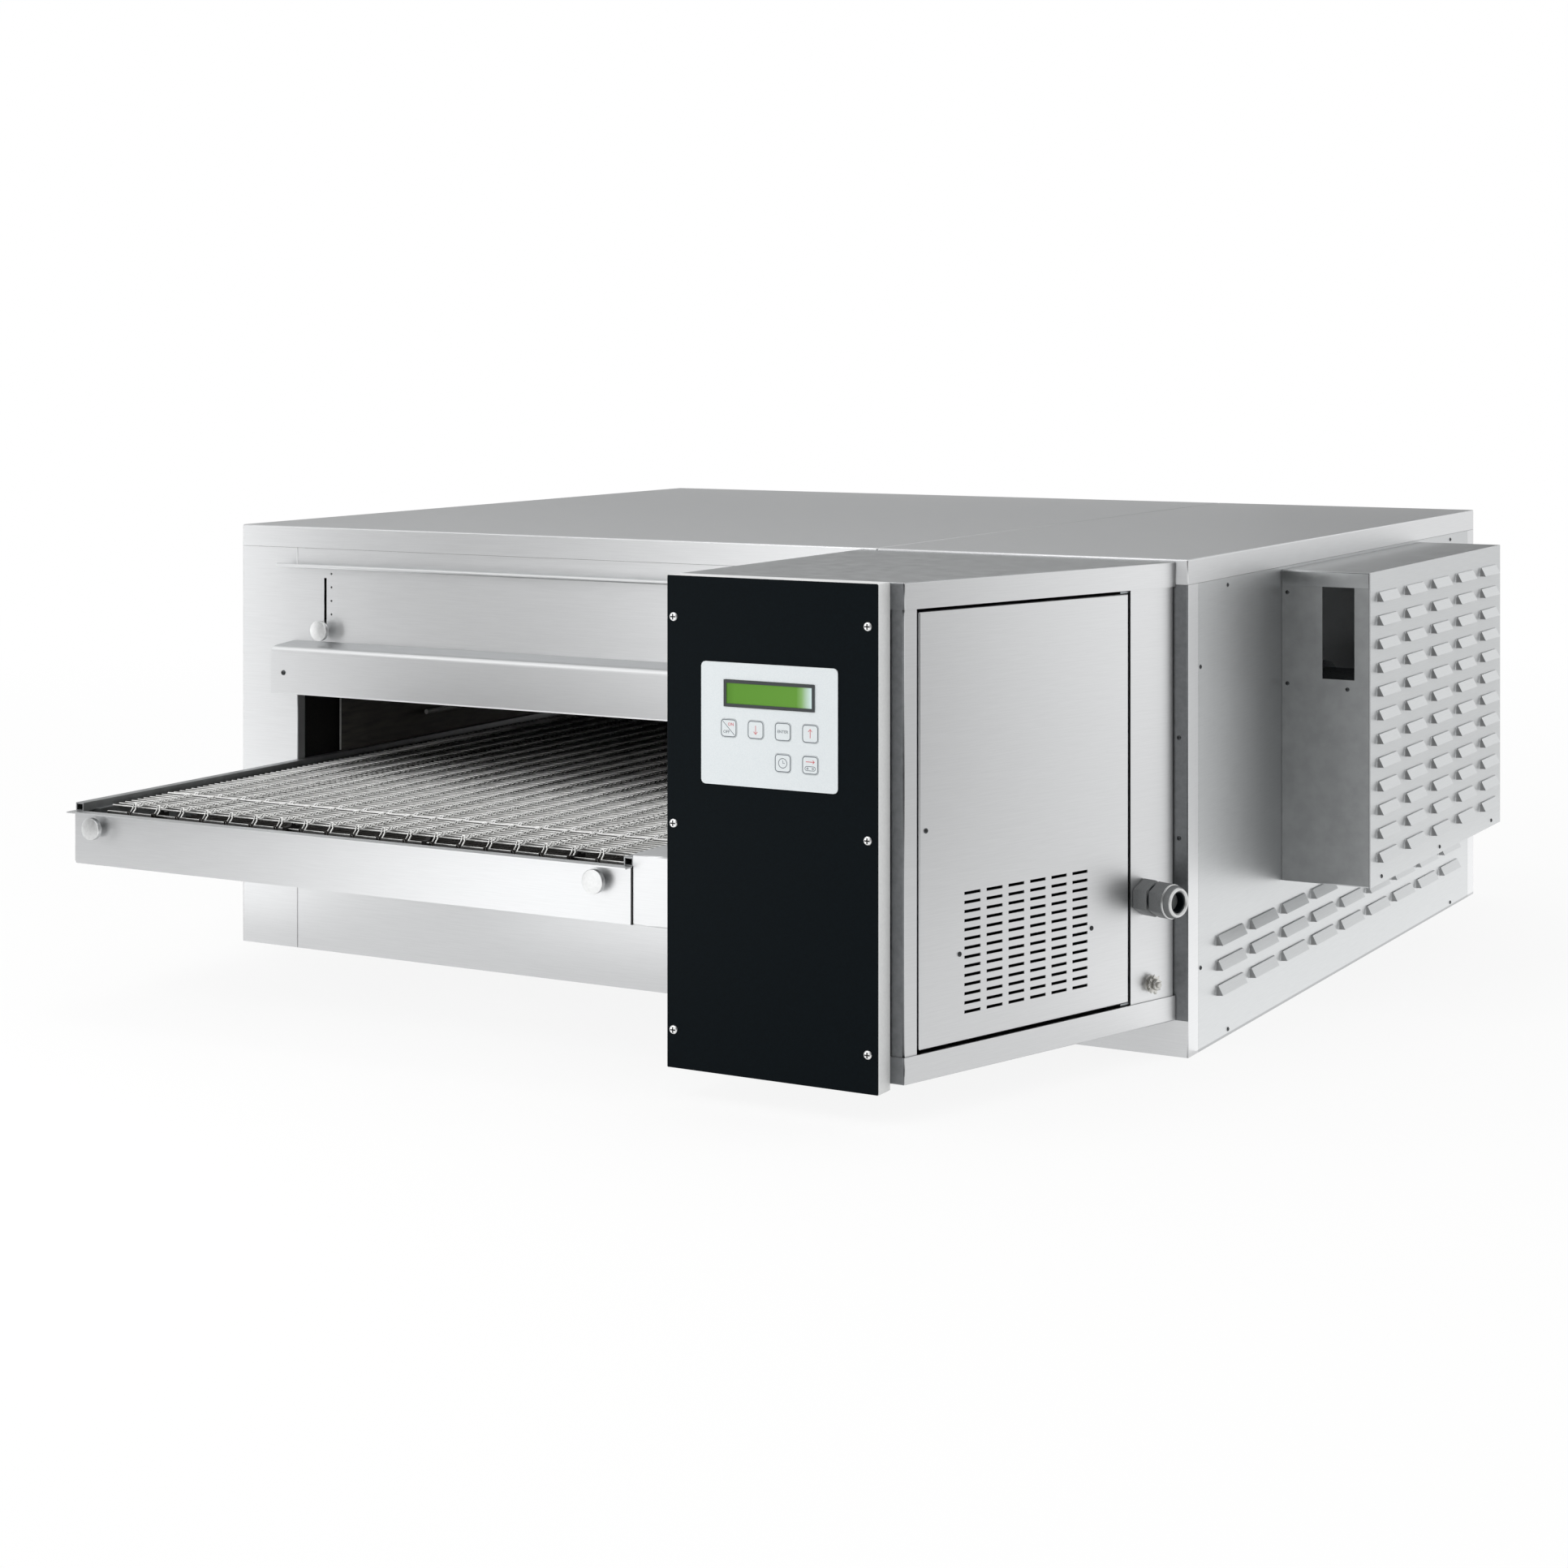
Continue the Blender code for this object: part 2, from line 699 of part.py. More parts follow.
# Baking hood: the air box over the belt, whose sides run down as the tunnel's walls. The box is open to
# the fan compartment, its floor has rows of jet slots, and the right wall lets the fans draw the air back.
def jets(bm, z):
    """Cutters for the rows of jet slots through a sheet at a height."""
    for x in grid(BELT_X - MOUTH_W / JET_COLS, MOUTH_W / JET_COLS, JET_COLS):
        for y in grid(-CHAMBER * (JET_ROWS - 1) / JET_ROWS, 2 * CHAMBER / JET_ROWS, JET_ROWS):
            slab(bm, (x - JET_L / 2, y - JET_W / 2, z - 0.006), (x + JET_L / 2, y + JET_W / 2, z + 0.006))


hood = sheet_box(
    "baking_hood",
    (MX0 - SHEET, -CHAMBER, TUNNEL_LOW),
    (MX1 + SHEET, CHAMBER, UPPER_BOX_TOP),
    [DOWN],
    "stainless",
)
bm = bmesh.new()
slab(
    bm,
    (MX0 - SHEET / 2, -CHAMBER + SHEET / 2, TUNNEL_TOP),
    (MX1 + SHEET / 2, CHAMBER - SHEET / 2, TUNNEL_TOP + SHEET),
)
cut(hood, bm, "UNION")
bm = bmesh.new()
jets(bm, TUNNEL_TOP)
for end, word in ENDS:
    low, high = sorted((end * (CHAMBER - SHEET - 0.002), end * (CHAMBER + 0.01)))
    slab(bm, (MX0 - GAP, low, TUNNEL_LOW - 0.01), (MX1 + GAP, high, TUNNEL_TOP - 0.008))
    middle = end * 0.5 * CHAMBER
    reach = 0.33 * CHAMBER
    slab(bm, (MX1 - 0.01, middle - reach, RAIL_TOP + 0.008), (MX1 + 0.01, middle + reach, TUNNEL_TOP - 0.010))
mouth = CHAMBER - 0.010
slab(bm, (MX1 - 0.01, -mouth, TUNNEL_TOP + 0.008), (MX1 + 0.01, mouth, UPPER_BOX_TOP - 0.008))
cut(hood, bm)

# Lower air box under the belt
box = sheet_box(
    "lower_diffuser",
    (MX0 - SHEET, -CHAMBER, LOWER_BOX_LOW),
    (MX1 + SHEET, CHAMBER, TUNNEL_LOW - GAP),
    [RIGHT],
    "stainless",
)
bm = bmesh.new()
jets(bm, TUNNEL_LOW)
cut(box, bm)

# Insulation: fills the casing round the chamber and the fan compartment, with a passage for the belt
FLOOR = SHEET + GAP
ROOF = BODY_H - SHEET - GAP
WOOL_SIDE = CAB_INSET + SHEET + GAP
WOOL_Y = YE - END_SLAB_SET
bm = bmesh.new()
slab(bm, (XL + WOOL_SIDE, -WOOL_Y, FLOOR), (XR - WOOL_SIDE, WOOL_Y, ROOF))
wool = piece("insulation", bm, "mineral_wool")
bm = bmesh.new()
chamber_y = CHAMBER + GAP
slab(
    bm,
    (MX0 - CAB_INSET, -chamber_y, LOWER_BOX_LOW - GAP),
    (FAN_X, chamber_y, UPPER_BOX_TOP + GAP),
)
cut(wool, bm)
bm = bmesh.new()
slab(bm, (MX0 - SLIDE_SIDE, -YE, SILL_Z - GAP - 2 * SHEET), (MX1 + SLIDE_SIDE, YE, PANEL_LOW + SHEET))
cut(wool, bm)
bm = bmesh.new()
slab(bm, (SEAM_X - 0.004, -YE, FLANGE_Z - GAP), (SEAM_X + 0.004, YE, BODY_H))
for y in FAN_YS:
    rod(bm, (FAN_X - 0.01, y, FAN_Z), (XR + 0.01, y, FAN_Z), FAN_SHAFT_R * 1.6)
cut(wool, bm)

# Heating elements: hairpin tubes on a flange at the front wall of the fan compartment
bm = bmesh.new()
heater_x = MX1 + HEATER_SET
heater_mid = (LOWER_BOX_LOW + UPPER_BOX_TOP) / 2
heater_zs = grid(heater_mid - HEATER_PITCH, HEATER_PITCH, 3)
flange_x = HEATER_BEND * 1.5
flange_t = HEATER_R
slab(
    bm,
    (heater_x - flange_x, -CHAMBER, heater_zs[0] - HEATER_BEND / 2),
    (heater_x + flange_x, -CHAMBER + flange_t, heater_zs[-1] + HEATER_BEND / 2),
)
heaters = piece("heating_elements", bm, "wire")
bm = bmesh.new()
for z in heater_zs:
    start = -CHAMBER + flange_t / 2
    far = CHAMBER - 2.5 * HEATER_BEND
    path = [(heater_x - HEATER_BEND, start, z)]
    for i in range(9):
        angle = math.pi * (1 - i / 8)
        path.append((heater_x + HEATER_BEND * math.cos(angle), far + HEATER_BEND * math.sin(angle), z))
    path.append((heater_x + HEATER_BEND, start, z))
    tube(bm, path, HEATER_R, round_steps=1)
cut(heaters, bm, "UNION")

# Fans: a back disc, a front ring and blades between them, on a shaft to the motor
HUB_X = FAN_X - FAN_HUB - 0.017
HUB_R = FAN_R * 0.15
DISC_H = FAN_HUB * 0.36
RING_H = DISC_H + FAN_SHEET - FAN_W
for (end, word), y in zip(ENDS, FAN_YS):
    place = at(HUB_X, y, FAN_Z) @ TO_X
    bm = bmesh.new()
    turned(
        bm,
        (
            (0, 0),
            (HUB_R, 0),
            (HUB_R, DISC_H),
            (FAN_R, DISC_H),
            (FAN_R, DISC_H + FAN_SHEET),
            (HUB_R, DISC_H + FAN_SHEET),
            (HUB_R, FAN_HUB),
            (FAN_SHAFT_R, FAN_HUB),
            (FAN_SHAFT_R, XR - HUB_X),
            (0, XR - HUB_X),
        ),
        sides=16,
    )
    fan = piece(word + "_fan", bm, "galvanised", place)
    bm = bmesh.new()
    half = FAN_SHEET / 3
    for i in range(BLADES):
        turn = Matrix.Rotation(math.tau * i / BLADES, 4, "Z") @ at(FAN_R * 0.75)
        lean = Matrix.Rotation(math.radians(35), 4, "Z")
        low = (-FAN_R * 0.24, -half, RING_H + FAN_SHEET / 2)
        slab(bm, low, (FAN_R * 0.24, half, DISC_H + FAN_SHEET / 2), turn @ lean)
    cut(fan, bm, "UNION")
    bm = bmesh.new()
    eye = FAN_R * 0.68
    edge = RING_H + FAN_SHEET
    turned(bm, ((eye, RING_H), (FAN_R, RING_H), (FAN_R, edge), (eye, edge)), sides=16, ring=True)
    cut(fan, bm, "UNION")

for (end, word), y in zip(ENDS, FAN_YS):
    bm = bmesh.new()
    flange_r = FAN_MOTOR_R * 1.14
    flange_t = FAN_MOTOR_L * 0.09
    turned(
        bm,
        (
            (0, 0),
            (flange_r, 0),
            (flange_r, flange_t),
            (FAN_MOTOR_R, flange_t),
            (FAN_MOTOR_R, FAN_MOTOR_L * 0.87),
            (FAN_MOTOR_R * 0.83, FAN_MOTOR_L),
            (0, FAN_MOTOR_L),
        ),
        at(XR + GAP, y, FAN_Z) @ TO_X,
    )
    piece(word + "_fan_motor", bm, "cast_aluminium")

# Motor cover: top, floor and two ends of sheet, closed by the louvred face
cover = sheet_box(
    "motor_cover",
    (XR + GAP, COVER_Y0, COVER_LOW),
    (XR + COVER_OUT - SHEET - GAP, COVER_Y1, COVER_TOP),
    [LEFT, RIGHT],
    "stainless",
)
bm = bmesh.new()
window = XR + WINDOW_X
slab(bm, (window, COVER_Y0 - 0.01, WINDOW_LOW), (window + WINDOW_W, COVER_Y0 + 0.01, CAP_LOW))
cut(cover, bm)

bm = bmesh.new()
slab(bm, (XR + COVER_OUT - SHEET, COVER_Y0, COVER_LOW), (XR + COVER_OUT, COVER_Y1, COVER_TOP))
face = piece("louvre_panel", bm, "stainless")
columns = grid(FAN_MID - COVER_HOOD_PITCH * (COVER_HOOD_COLS - 1) / 2, COVER_HOOD_PITCH, COVER_HOOD_COLS)
first = COVER_LOW + COVER_HOOD_UP
rows = grid(first, (COVER_TOP - COVER_HOOD_DROP - first) / (COVER_HOOD_ROWS - 1), COVER_HOOD_ROWS)
louvres(face, XR + COVER_OUT, [(y, z) for z in rows for y in columns], COVER_HOOD_L)

# Rails: a square tube on a web with an inward foot, and a bearing block for each shaft
RAIL_END = YE + TRAY_OUT - SHEET - GAP
for name, web, turn in (("left_rail", RAIL0, 1), ("right_rail", RAIL1, -1)):
    tube_z = RAIL_TOP - TUBE_H
    section = (
        (0, SILL_Z),
        (RAIL_FLANGE, SILL_Z),
        (RAIL_FLANGE, SILL_Z + SHEET),
        (SHEET, SILL_Z + SHEET),
        (SHEET, tube_z),
        (TUBE_W, tube_z),
        (TUBE_W, RAIL_TOP),
        (0, RAIL_TOP),
    )
    hollow = (
        (SHEET, tube_z + SHEET),
        (TUBE_W - SHEET, tube_z + SHEET),
        (TUBE_W - SHEET, RAIL_TOP - SHEET),
        (SHEET, RAIL_TOP - SHEET),
    )
    loops = [[(web + turn * x, z) for x, z in loop] for loop in (section, hollow)]
    bm = bmesh.new()
    profile(bm, loops, 2 * RAIL_END, ALONG @ at(z=-RAIL_END))
    rail = piece(name, bm, "stainless")
    blocks = bmesh.new()
    bores = bmesh.new()
    for end, word in ENDS:
        low, high = sorted((web + turn * SHEET / 2, web + turn * (SHEET + BEARING_W)))
        slab(
            blocks,
            (low, end * AXLE_Y - 0.018, AXLE_Z - 0.017),
            (high, end * AXLE_Y + 0.018, tube_z + SHEET / 2),
        )
        driven = turn < 0 and end < 0
        inner = web - turn * 0.01 if driven else web + turn * (SHEET + GAP)
        outer = web + turn * (SHEET + BEARING_W + 0.01)
        rod(bores, (inner, end * AXLE_Y, AXLE_Z), (outer, end * AXLE_Y, AXLE_Z), bore(SHAFT_R, 16), 16)
    cut(rail, blocks, "UNION")
    cut(rail, bores)


# Belt: one wire that zigzags from edge to edge all round the loop
def belt_point(distance):
    """The place and direction of the belt's wire at a distance round its loop."""
    run = 2 * AXLE_Y
    arc = math.pi * WIRE_PATH_R
    distance %= 2 * (run + arc)
    half = distance // (run + arc)
    rest = distance - half * (run + arc)
    sign = 1 if half == 0 else -1
    if rest < run:
        return sign * (rest - AXLE_Y), AXLE_Z + sign * WIRE_PATH_R
    angle = (rest - run) / WIRE_PATH_R
    return sign * (AXLE_Y + WIRE_PATH_R * math.sin(angle)), AXLE_Z + sign * WIRE_PATH_R * math.cos(angle)


bm = bmesh.new()
loop_length = 2 * (2 * AXLE_Y + math.pi * WIRE_PATH_R)
rungs = 2 * round(loop_length / RUNG_PITCH / 2)
path = []
belt_edge = BELT_W / 2 - BELT_WIRE
for i in range(rungs):
    y, z = belt_point((i + 0.25) * loop_length / rungs)
    side = 1 if i % 2 else -1
    path.append((BELT_X - side * belt_edge, y, z))
    path.append((BELT_X + side * belt_edge, y, z))
tube(bm, path, BELT_WIRE, closed=True, round_steps=0)


def stadium(radius, span, steps):
    """A belt's outline round two wheels of one size."""
    loop = []
    for sign in (1, -1):
        for i in range(steps + 1):
            angle = math.pi * i / steps
            loop.append((sign * (span / 2 + radius * math.sin(angle)), sign * radius * math.cos(angle)))
    return loop


piece("mesh_belt", bm, "wire")

# Shafts with toothed wheels inside the belt; the driven one runs on into the drive cover
SPROCKET_X = MX1 + DRIVE_W / 2
wheel_xs = grid(BELT_X - BELT_W * 0.4, BELT_W * 0.8 / (WHEELS - 1), WHEELS)
for name, end, stop in (
    ("drive_shaft", -1, SPROCKET_X + 0.012),
    ("idler_shaft", 1, RAIL1 - SHEET - 2 * GAP),
):
    bm = bmesh.new()
    rod(bm, (RAIL0 + SHEET + 2 * GAP, 0, 0), (stop, 0, 0), SHAFT_R, 16)
    shaft = piece(name, bm, "wire", at(y=end * AXLE_Y, z=AXLE_Z))
    bm = bmesh.new()
    for x in wheel_xs:
        prism(bm, toothed(WHEEL_TEETH, WHEEL_R - 0.004, WHEEL_R), 0.006, ACROSS @ at(z=x - 0.003))
    if end < 0:
        prism(bm, toothed(CHAIN_TEETH, CHAIN_R - 0.0035, CHAIN_R), 0.004, ACROSS @ at(z=SPROCKET_X - 0.002))
    cut(shaft, bm, "UNION")

# Belt carrier: rods under the upper run, welded to cross bars, with bars under the lower run on straps
rest_z = AXLE_Z + WHEEL_R - SUPPORT_R
cross_z = RAIL_TOP - TUBE_H - GAP - CROSS_R
return_z = AXLE_Z - BELT_R - GAP - CROSS_R
rest_y = AXLE_Y - BELT_R - 0.012
between = (RAIL0 + SHEET + GAP, RAIL1 - SHEET - GAP)
bm = bmesh.new()
bars = bmesh.new()
straps = bmesh.new()
for x in grid(BELT_X - BELT_W / 3, BELT_W / 3, 3):
    rod(bm, (x, -rest_y, rest_z), (x, rest_y, rest_z), SUPPORT_R, 8)
for part in (-0.92, -0.47, 0, 0.47, 0.92):
    y = part * rest_y
    rod(bars, (between[0], y, cross_z), (between[1], y, cross_z), CROSS_R, 8)
    if abs(y) < CHAMBER:
        rod(bars, (between[0], y, return_z), (between[1], y, return_z), CROSS_R, 8)
        for x in (between[0] + 0.002, between[1] - 0.005):
            slab(straps, (x, y - 0.0025, return_z), (x + 0.003, y + 0.0025, cross_z))
carrier = piece("belt_carrier", bars, "stainless")
cut(carrier, bm, "UNION")
cut(carrier, straps, "UNION")

# Crumb drawers: a front plate with a fold-out lip and a shallow tray that runs on the rails' feet
for end, word in ENDS:
    bm = bmesh.new()
    plate_v = TRAY_OUT - SHEET / 2
    plate = bent(
        ((plate_v, SILL_Z), (plate_v, TRAY_TOP + SHEET / 2), (TRAY_OUT + TRAY_LIP, TRAY_TOP + SHEET / 2))
    )
    prism(bm, plate, MOUTH_W - 4 * GAP, facing(end) @ at(z=MX0 + 3 * GAP))
    drawer = piece(word + "_drawer", bm, "stainless")
    tray_x = (between[0], between[1])
    tray_v = (TRAY_OUT - DRAWER_L, plate_v)
    tray_z = (SILL_Z + SHEET + GAP, DRAWER_WALL)
    bm = bmesh.new()
    end_slab(bm, end, tray_x, tray_v, tray_z)
    cut(drawer, bm, "UNION")
    bm = bmesh.new()
    end_slab(
        bm,
        end,
        (tray_x[0] + SHEET, tray_x[1] - SHEET),
        (tray_v[0] + SHEET, TRAY_OUT - SHEET),
        (tray_z[0] + SHEET, DRAWER_WALL + 0.01),
    )
    for corner, turn in ((MX0, 1), (MX1, -1)):
        reach = TRAY_CHAMFER + 0.002
        wedge = (
            (corner - turn * 0.002, SILL_Z - 0.002),
            (corner + turn * reach, SILL_Z - 0.002),
            (corner - turn * 0.002, SILL_Z + reach),
        )
        depth = sorted((end * (YE + TRAY_OUT - 0.01), end * (YE + TRAY_OUT + 0.01)))
        prism(bm, wedge, depth[1] - depth[0], ALONG @ at(z=depth[0]))
    cut(drawer, bm)
    for side, x in (("left", MX0 + DRAWER_KNOB_INSET), ("right", MX1 - DRAWER_KNOB_INSET - 0.008)):
        start = TRAY_OUT + GAP
        bm = bmesh.new()
        turned(
            bm,
            (
                (0, start),
                (0.004, start),
                (0.004, start + 0.005),
                (KNOB_R - 0.0015, start + 0.006),
                (KNOB_R, start + 0.0075),
                (KNOB_R, start + 0.0115),
                (KNOB_R - 0.0015, start + 0.013),
                (0, start + 0.013),
            ),
            outward(end, x, DRAWER_KNOB_Z),
            16,
        )
        piece(word + "_" + side + "_drawer_knob", bm, "turned_steel")

# Drive between the right rail and the cabinet: cover, chain, motor sprocket and gear motor
sheet_box(
    "drive_cover",
    (MX1 + GAP, -YE - TRAY_OUT, SILL_Z),
    (CAB_X0 - GAP, -YE - GAP, BELT_TOP + 0.007),
    [LEFT, RIGHT],
    "stainless",
)
MOTOR_Y = -YE - MOTOR_OUT
CHAIN_SPAN = AXLE_Y + MOTOR_Y
bm = bmesh.new()
loops = [stadium(CHAIN_R + GAP + CHAIN_T, CHAIN_SPAN, 10), stadium(CHAIN_R + GAP, CHAIN_SPAN, 10)]
profile(
    bm, loops, CHAIN_W, ACROSS @ at((MOTOR_Y - AXLE_Y) / 2, AXLE_Z, SPROCKET_X - CHAIN_W / 2)
)
piece("drive_chain", bm, "wire")

GEAR_X = CAB_X0 + CAB_INSET + SHEET + GAP
bm = bmesh.new()
rod(bm, (SPROCKET_X - 2 * GEAR_SHAFT_R, 0, 0), (GEAR_X - GAP, 0, 0), GEAR_SHAFT_R, 16)
sprocket = piece("motor_sprocket", bm, "wire", at(y=MOTOR_Y, z=AXLE_Z))
bm = bmesh.new()
prism(bm, toothed(CHAIN_TEETH, CHAIN_R - 0.0035, CHAIN_R), 0.004, ACROSS @ at(z=SPROCKET_X - 0.002))
cut(sprocket, bm, "UNION")

bm = bmesh.new()
half = GEARBOX_H / 2
slab(bm, (GEAR_X, MOTOR_Y - half, AXLE_Z - half), (GEAR_X + GEARBOX_W, MOTOR_Y + half, AXLE_Z + half))
gear_motor = piece("gear_motor", bm, "cast_aluminium")
bm = bmesh.new()
sunk = GEARBOX_W * 0.07
turned(
    bm,
    (
        (0, -sunk),
        (GEAR_MOTOR_R, -sunk),
        (GEAR_MOTOR_R, GEAR_MOTOR_L * 0.9),
        (GEAR_MOTOR_R * 0.8, GEAR_MOTOR_L),
        (0, GEAR_MOTOR_L),
    ),
    at(GEAR_X + GEARBOX_W, MOTOR_Y, AXLE_Z) @ TO_X,
)
cut(gear_motor, bm, "UNION")

# Control cabinet: cap and base trays over folded walls
CAB_PLAN = (
    (CAB_X0, -YE - CAB_OUT),
    (CAB_X0 + CAB_FRONT_W, -YE - CAB_OUT),
    (XR - CAB_BACK_SET, -YE - GAP),
    (CAB_X0, -YE - GAP),
)


def tray_shell(name, low, high, lid):
    """A tray over the cabinet's plan, without the face that looks the given way."""
    bm = bmesh.new()
    prism(bm, CAB_PLAN, high - low, at(z=low))
    bmesh.ops.recalc_face_normals(bm, faces=bm.faces)
    gone = [f for f in bm.faces if f.normal.dot(Vector(lid)) > 0.9]
    bmesh.ops.delete(bm, geom=gone, context="FACES")
    return thicken(piece(name, bm, "stainless"), SHEET)


tray_shell("cabinet_cap", CAB_TOP - CAB_FLANGE, CAB_TOP, DOWN)
tray_shell("cabinet_base", CAB_LOW, CAB_LOW + CAB_FLANGE, UP)

# The slanted side's own frame: along it from the front, into the cabinet, up
SLANT_FROM = Vector((*CAB_PLAN[1], 0))
SLANT_RUN = (Vector((*CAB_PLAN[2], 0)) - SLANT_FROM).normalized()
SLANT_OUT = Vector((SLANT_RUN.y, -SLANT_RUN.x, 0))
SLANT = Matrix.Translation(SLANT_FROM - SLANT_OUT * CAB_INSET) @ Matrix(
    (
        (SLANT_RUN.x, -SLANT_OUT.x, 0, 0),
        (SLANT_RUN.y, -SLANT_OUT.y, 0, 0),
        (0, 0, 1, 0),
        (0, 0, 0, 1),
    )
)
DOOR_END = DOOR_START + DOOR_W
OPEN_END = DOOR_END + DOOR_GAP

bm = bmesh.new()
loops = [inset(CAB_PLAN, CAB_INSET), inset(CAB_PLAN, CAB_INSET + SHEET)]
profile(bm, loops, CAB_TOP - CAB_LOW - 2 * CAB_INSET, at(z=CAB_LOW + CAB_INSET))
cabinet = piece("cabinet_walls", bm, "stainless")
bm = bmesh.new()
slab(
    bm,
    (DOOR_START - DOOR_GAP, -0.01, DOOR_LOW - DOOR_GAP),
    (OPEN_END, 0.01, DOOR_TOP + DOOR_GAP),
    SLANT,
)
rod(bm, (GLAND_S, -0.01, GLAND_Z), (GLAND_S, 0.01, GLAND_Z), GLAND_R * 0.6, 16, SLANT)
rod(bm, (CAB_X0 - 0.01, MOTOR_Y, AXLE_Z), (CAB_X0 + 0.01, MOTOR_Y, AXLE_Z), GEAR_SHAFT_R * 1.25)
cut(cabinet, bm)

# Door on the slanted side, a shallow pan with vent slots, turning on pins near its rear edge
PIN_S = DOOR_END - PIN_SET
HINGE = SLANT @ at(PIN_S, PIN_DEPTH)
door = sheet_box(
    "cabinet_door",
    (DOOR_START - PIN_S, -PIN_DEPTH, DOOR_LOW),
    (DOOR_END - PIN_S, DOOR_DEPTH - PIN_DEPTH, DOOR_TOP),
    [(0, 1, 0)],
    "stainless",
    place=HINGE,
)
bm = bmesh.new()
for s in grid(VENT_S, VENT_PITCH, VENT_COLS):
    for z in grid(VENT_LOW, VENT_ROW, VENT_ROWS):
        slab(
            bm,
            (s - PIN_S - VENT_L / 2, -PIN_DEPTH - 0.004, z - VENT_H / 2),
            (s - PIN_S + VENT_L / 2, -PIN_DEPTH + 0.004, z + VENT_H / 2),
        )
for z in (DOOR_LOW, DOOR_TOP):
    rod(bm, (0, 0, z - 0.005), (0, 0, z + 0.005), bore(PIN_R, 12), 12)
cut(door, bm)

# Hinge: a strip on the inside of the wall, with a bracket and a pin into each end of the door
bm = bmesh.new()
brackets = bmesh.new()
pins = bmesh.new()
strip_s = OPEN_END + 0.0015
bracket_t = 0.002
first = 2 * GAP
slab(
    bm,
    (strip_s, CAB_INSET, DOOR_LOW - first - bracket_t / 2),
    (strip_s + 0.006, CAB_INSET + 0.002, DOOR_TOP + first + bracket_t / 2),
)
for edge, turn in ((DOOR_TOP, 1), (DOOR_LOW, -1)):
    low, high = sorted((edge + turn * first, edge + turn * (first + bracket_t)))
    slab(brackets, (PIN_S - 0.005, CAB_INSET + 0.0005, low), (strip_s + 0.005, DOOR_DEPTH, high))
    low, high = sorted((edge - turn * 0.008, edge + turn * (first + bracket_t / 2)))
    rod(pins, (PIN_S, PIN_DEPTH, low), (PIN_S, PIN_DEPTH, high), PIN_R)
hinge = piece("door_hinge", bm, "galvanised", SLANT)
cut(hinge, brackets, "UNION")
cut(hinge, pins, "UNION")

# Control panel: a black pan on the cabinet's front, with a keypad plate, a display and six keys
PANEL_Y = -YE - PANEL_FACE
panel = sheet_box(
    "control_panel",
    (CAB_X0, PANEL_Y, PANEL_Z0),
    (CAB_X0 + PANEL_W, -YE - CAB_OUT - GAP, CAB_TOP),
    [(0, 1, 0)],
    "black_enamel",
    PANEL_SHEET,
)
PAD_X = CAB_X0 + KEYPAD_X
bm = bmesh.new()
margin = 0.010
slab(
    bm,
    (PAD_X + margin, PANEL_Y - 0.01, KEYPAD_Z0 + margin),
    (PAD_X + KEYPAD_W - margin, PANEL_Y + 0.01, KEYPAD_Z1 - margin),
)
cut(panel, bm)

KEY_X = CAB_X0 + DISPLAY_X + 0.006
KEYS = (
    ("key_power", 0, 0),
    ("key_down", 1, 0),
    ("key_enter", 2, 0),
    ("key_up", 3, 0),
    ("key_timer", 2, 1),
    ("key_belt", 3, 1),
)
key_spots = [(name, KEY_X + KEY_PITCH * i, KEY_ROW_Z - KEY_ROW * j) for name, i, j in KEYS]
KEY_R = 0.004
half = KEY_W / 2 + KEY_CLEAR
loops = [rounded((PAD_X, KEYPAD_Z0), (PAD_X + KEYPAD_W, KEYPAD_Z1), 0.005)]
for name, x, z in key_spots:
    loops.append(rounded((x - half, z - half), (x + half, z + half), KEY_R + KEY_CLEAR))
glass = (
    (CAB_X0 + DISPLAY_X, DISPLAY_Z0),
    (CAB_X0 + DISPLAY_X + DISPLAY_W, DISPLAY_Z1),
)
loops.append(
    rounded((glass[0][0] - GAP, glass[0][1] - GAP), (glass[1][0] + GAP, glass[1][1] + GAP), 0.002, 2)
)
PAD_Y = PANEL_Y - GAP - KEYPAD_T
bm = bmesh.new()
profile(bm, loops, KEYPAD_T, ALONG @ at(z=PAD_Y))
piece("keypad_plate", bm, "keypad_grey")
bm = bmesh.new()
prism(bm, rounded(*glass, 0.002, 2), 0.002, ALONG @ at(z=PAD_Y - 0.0002))
piece("display_window", bm, "green_glass")
for name, x, z in key_spots:
    bm = bmesh.new()
    half = KEY_W / 2
    prism(bm, rounded((-half, -half), (half, half), KEY_R), KEY_T, ALONG @ at(z=-0.0004))
    piece(name, bm, "keypad_grey", at(x, PAD_Y, z))

# Cable gland and earth terminal on the post behind the door, without a cord
GLAND = SLANT @ at(GLAND_S, -GAP, GLAND_Z) @ Matrix.Rotation(math.pi / 2, 4, "X")
throat = GLAND_R * 0.45
bm = bmesh.new()
prism(bm, circle(GLAND_R, 6), 0.014, GLAND)
gland = piece("cable_gland", bm, "grey_plastic")
bm = bmesh.new()
turned(
    bm,
    (
        (0, 0.010),
        (GLAND_R * 0.80, 0.010),
        (GLAND_R * 0.80, 0.022),
        (GLAND_R * 0.92, 0.024),
        (GLAND_R * 0.92, GLAND_L - 0.014),
        (GLAND_R * 0.70, GLAND_L),
        (0, GLAND_L),
    ),
    GLAND,
    18,
)
cut(gland, bm, "UNION")
bm = bmesh.new()
rod(bm, (0, 0, -0.01), (0, 0, GLAND_L + 0.01), throat, 12, GLAND)
cut(gland, bm)

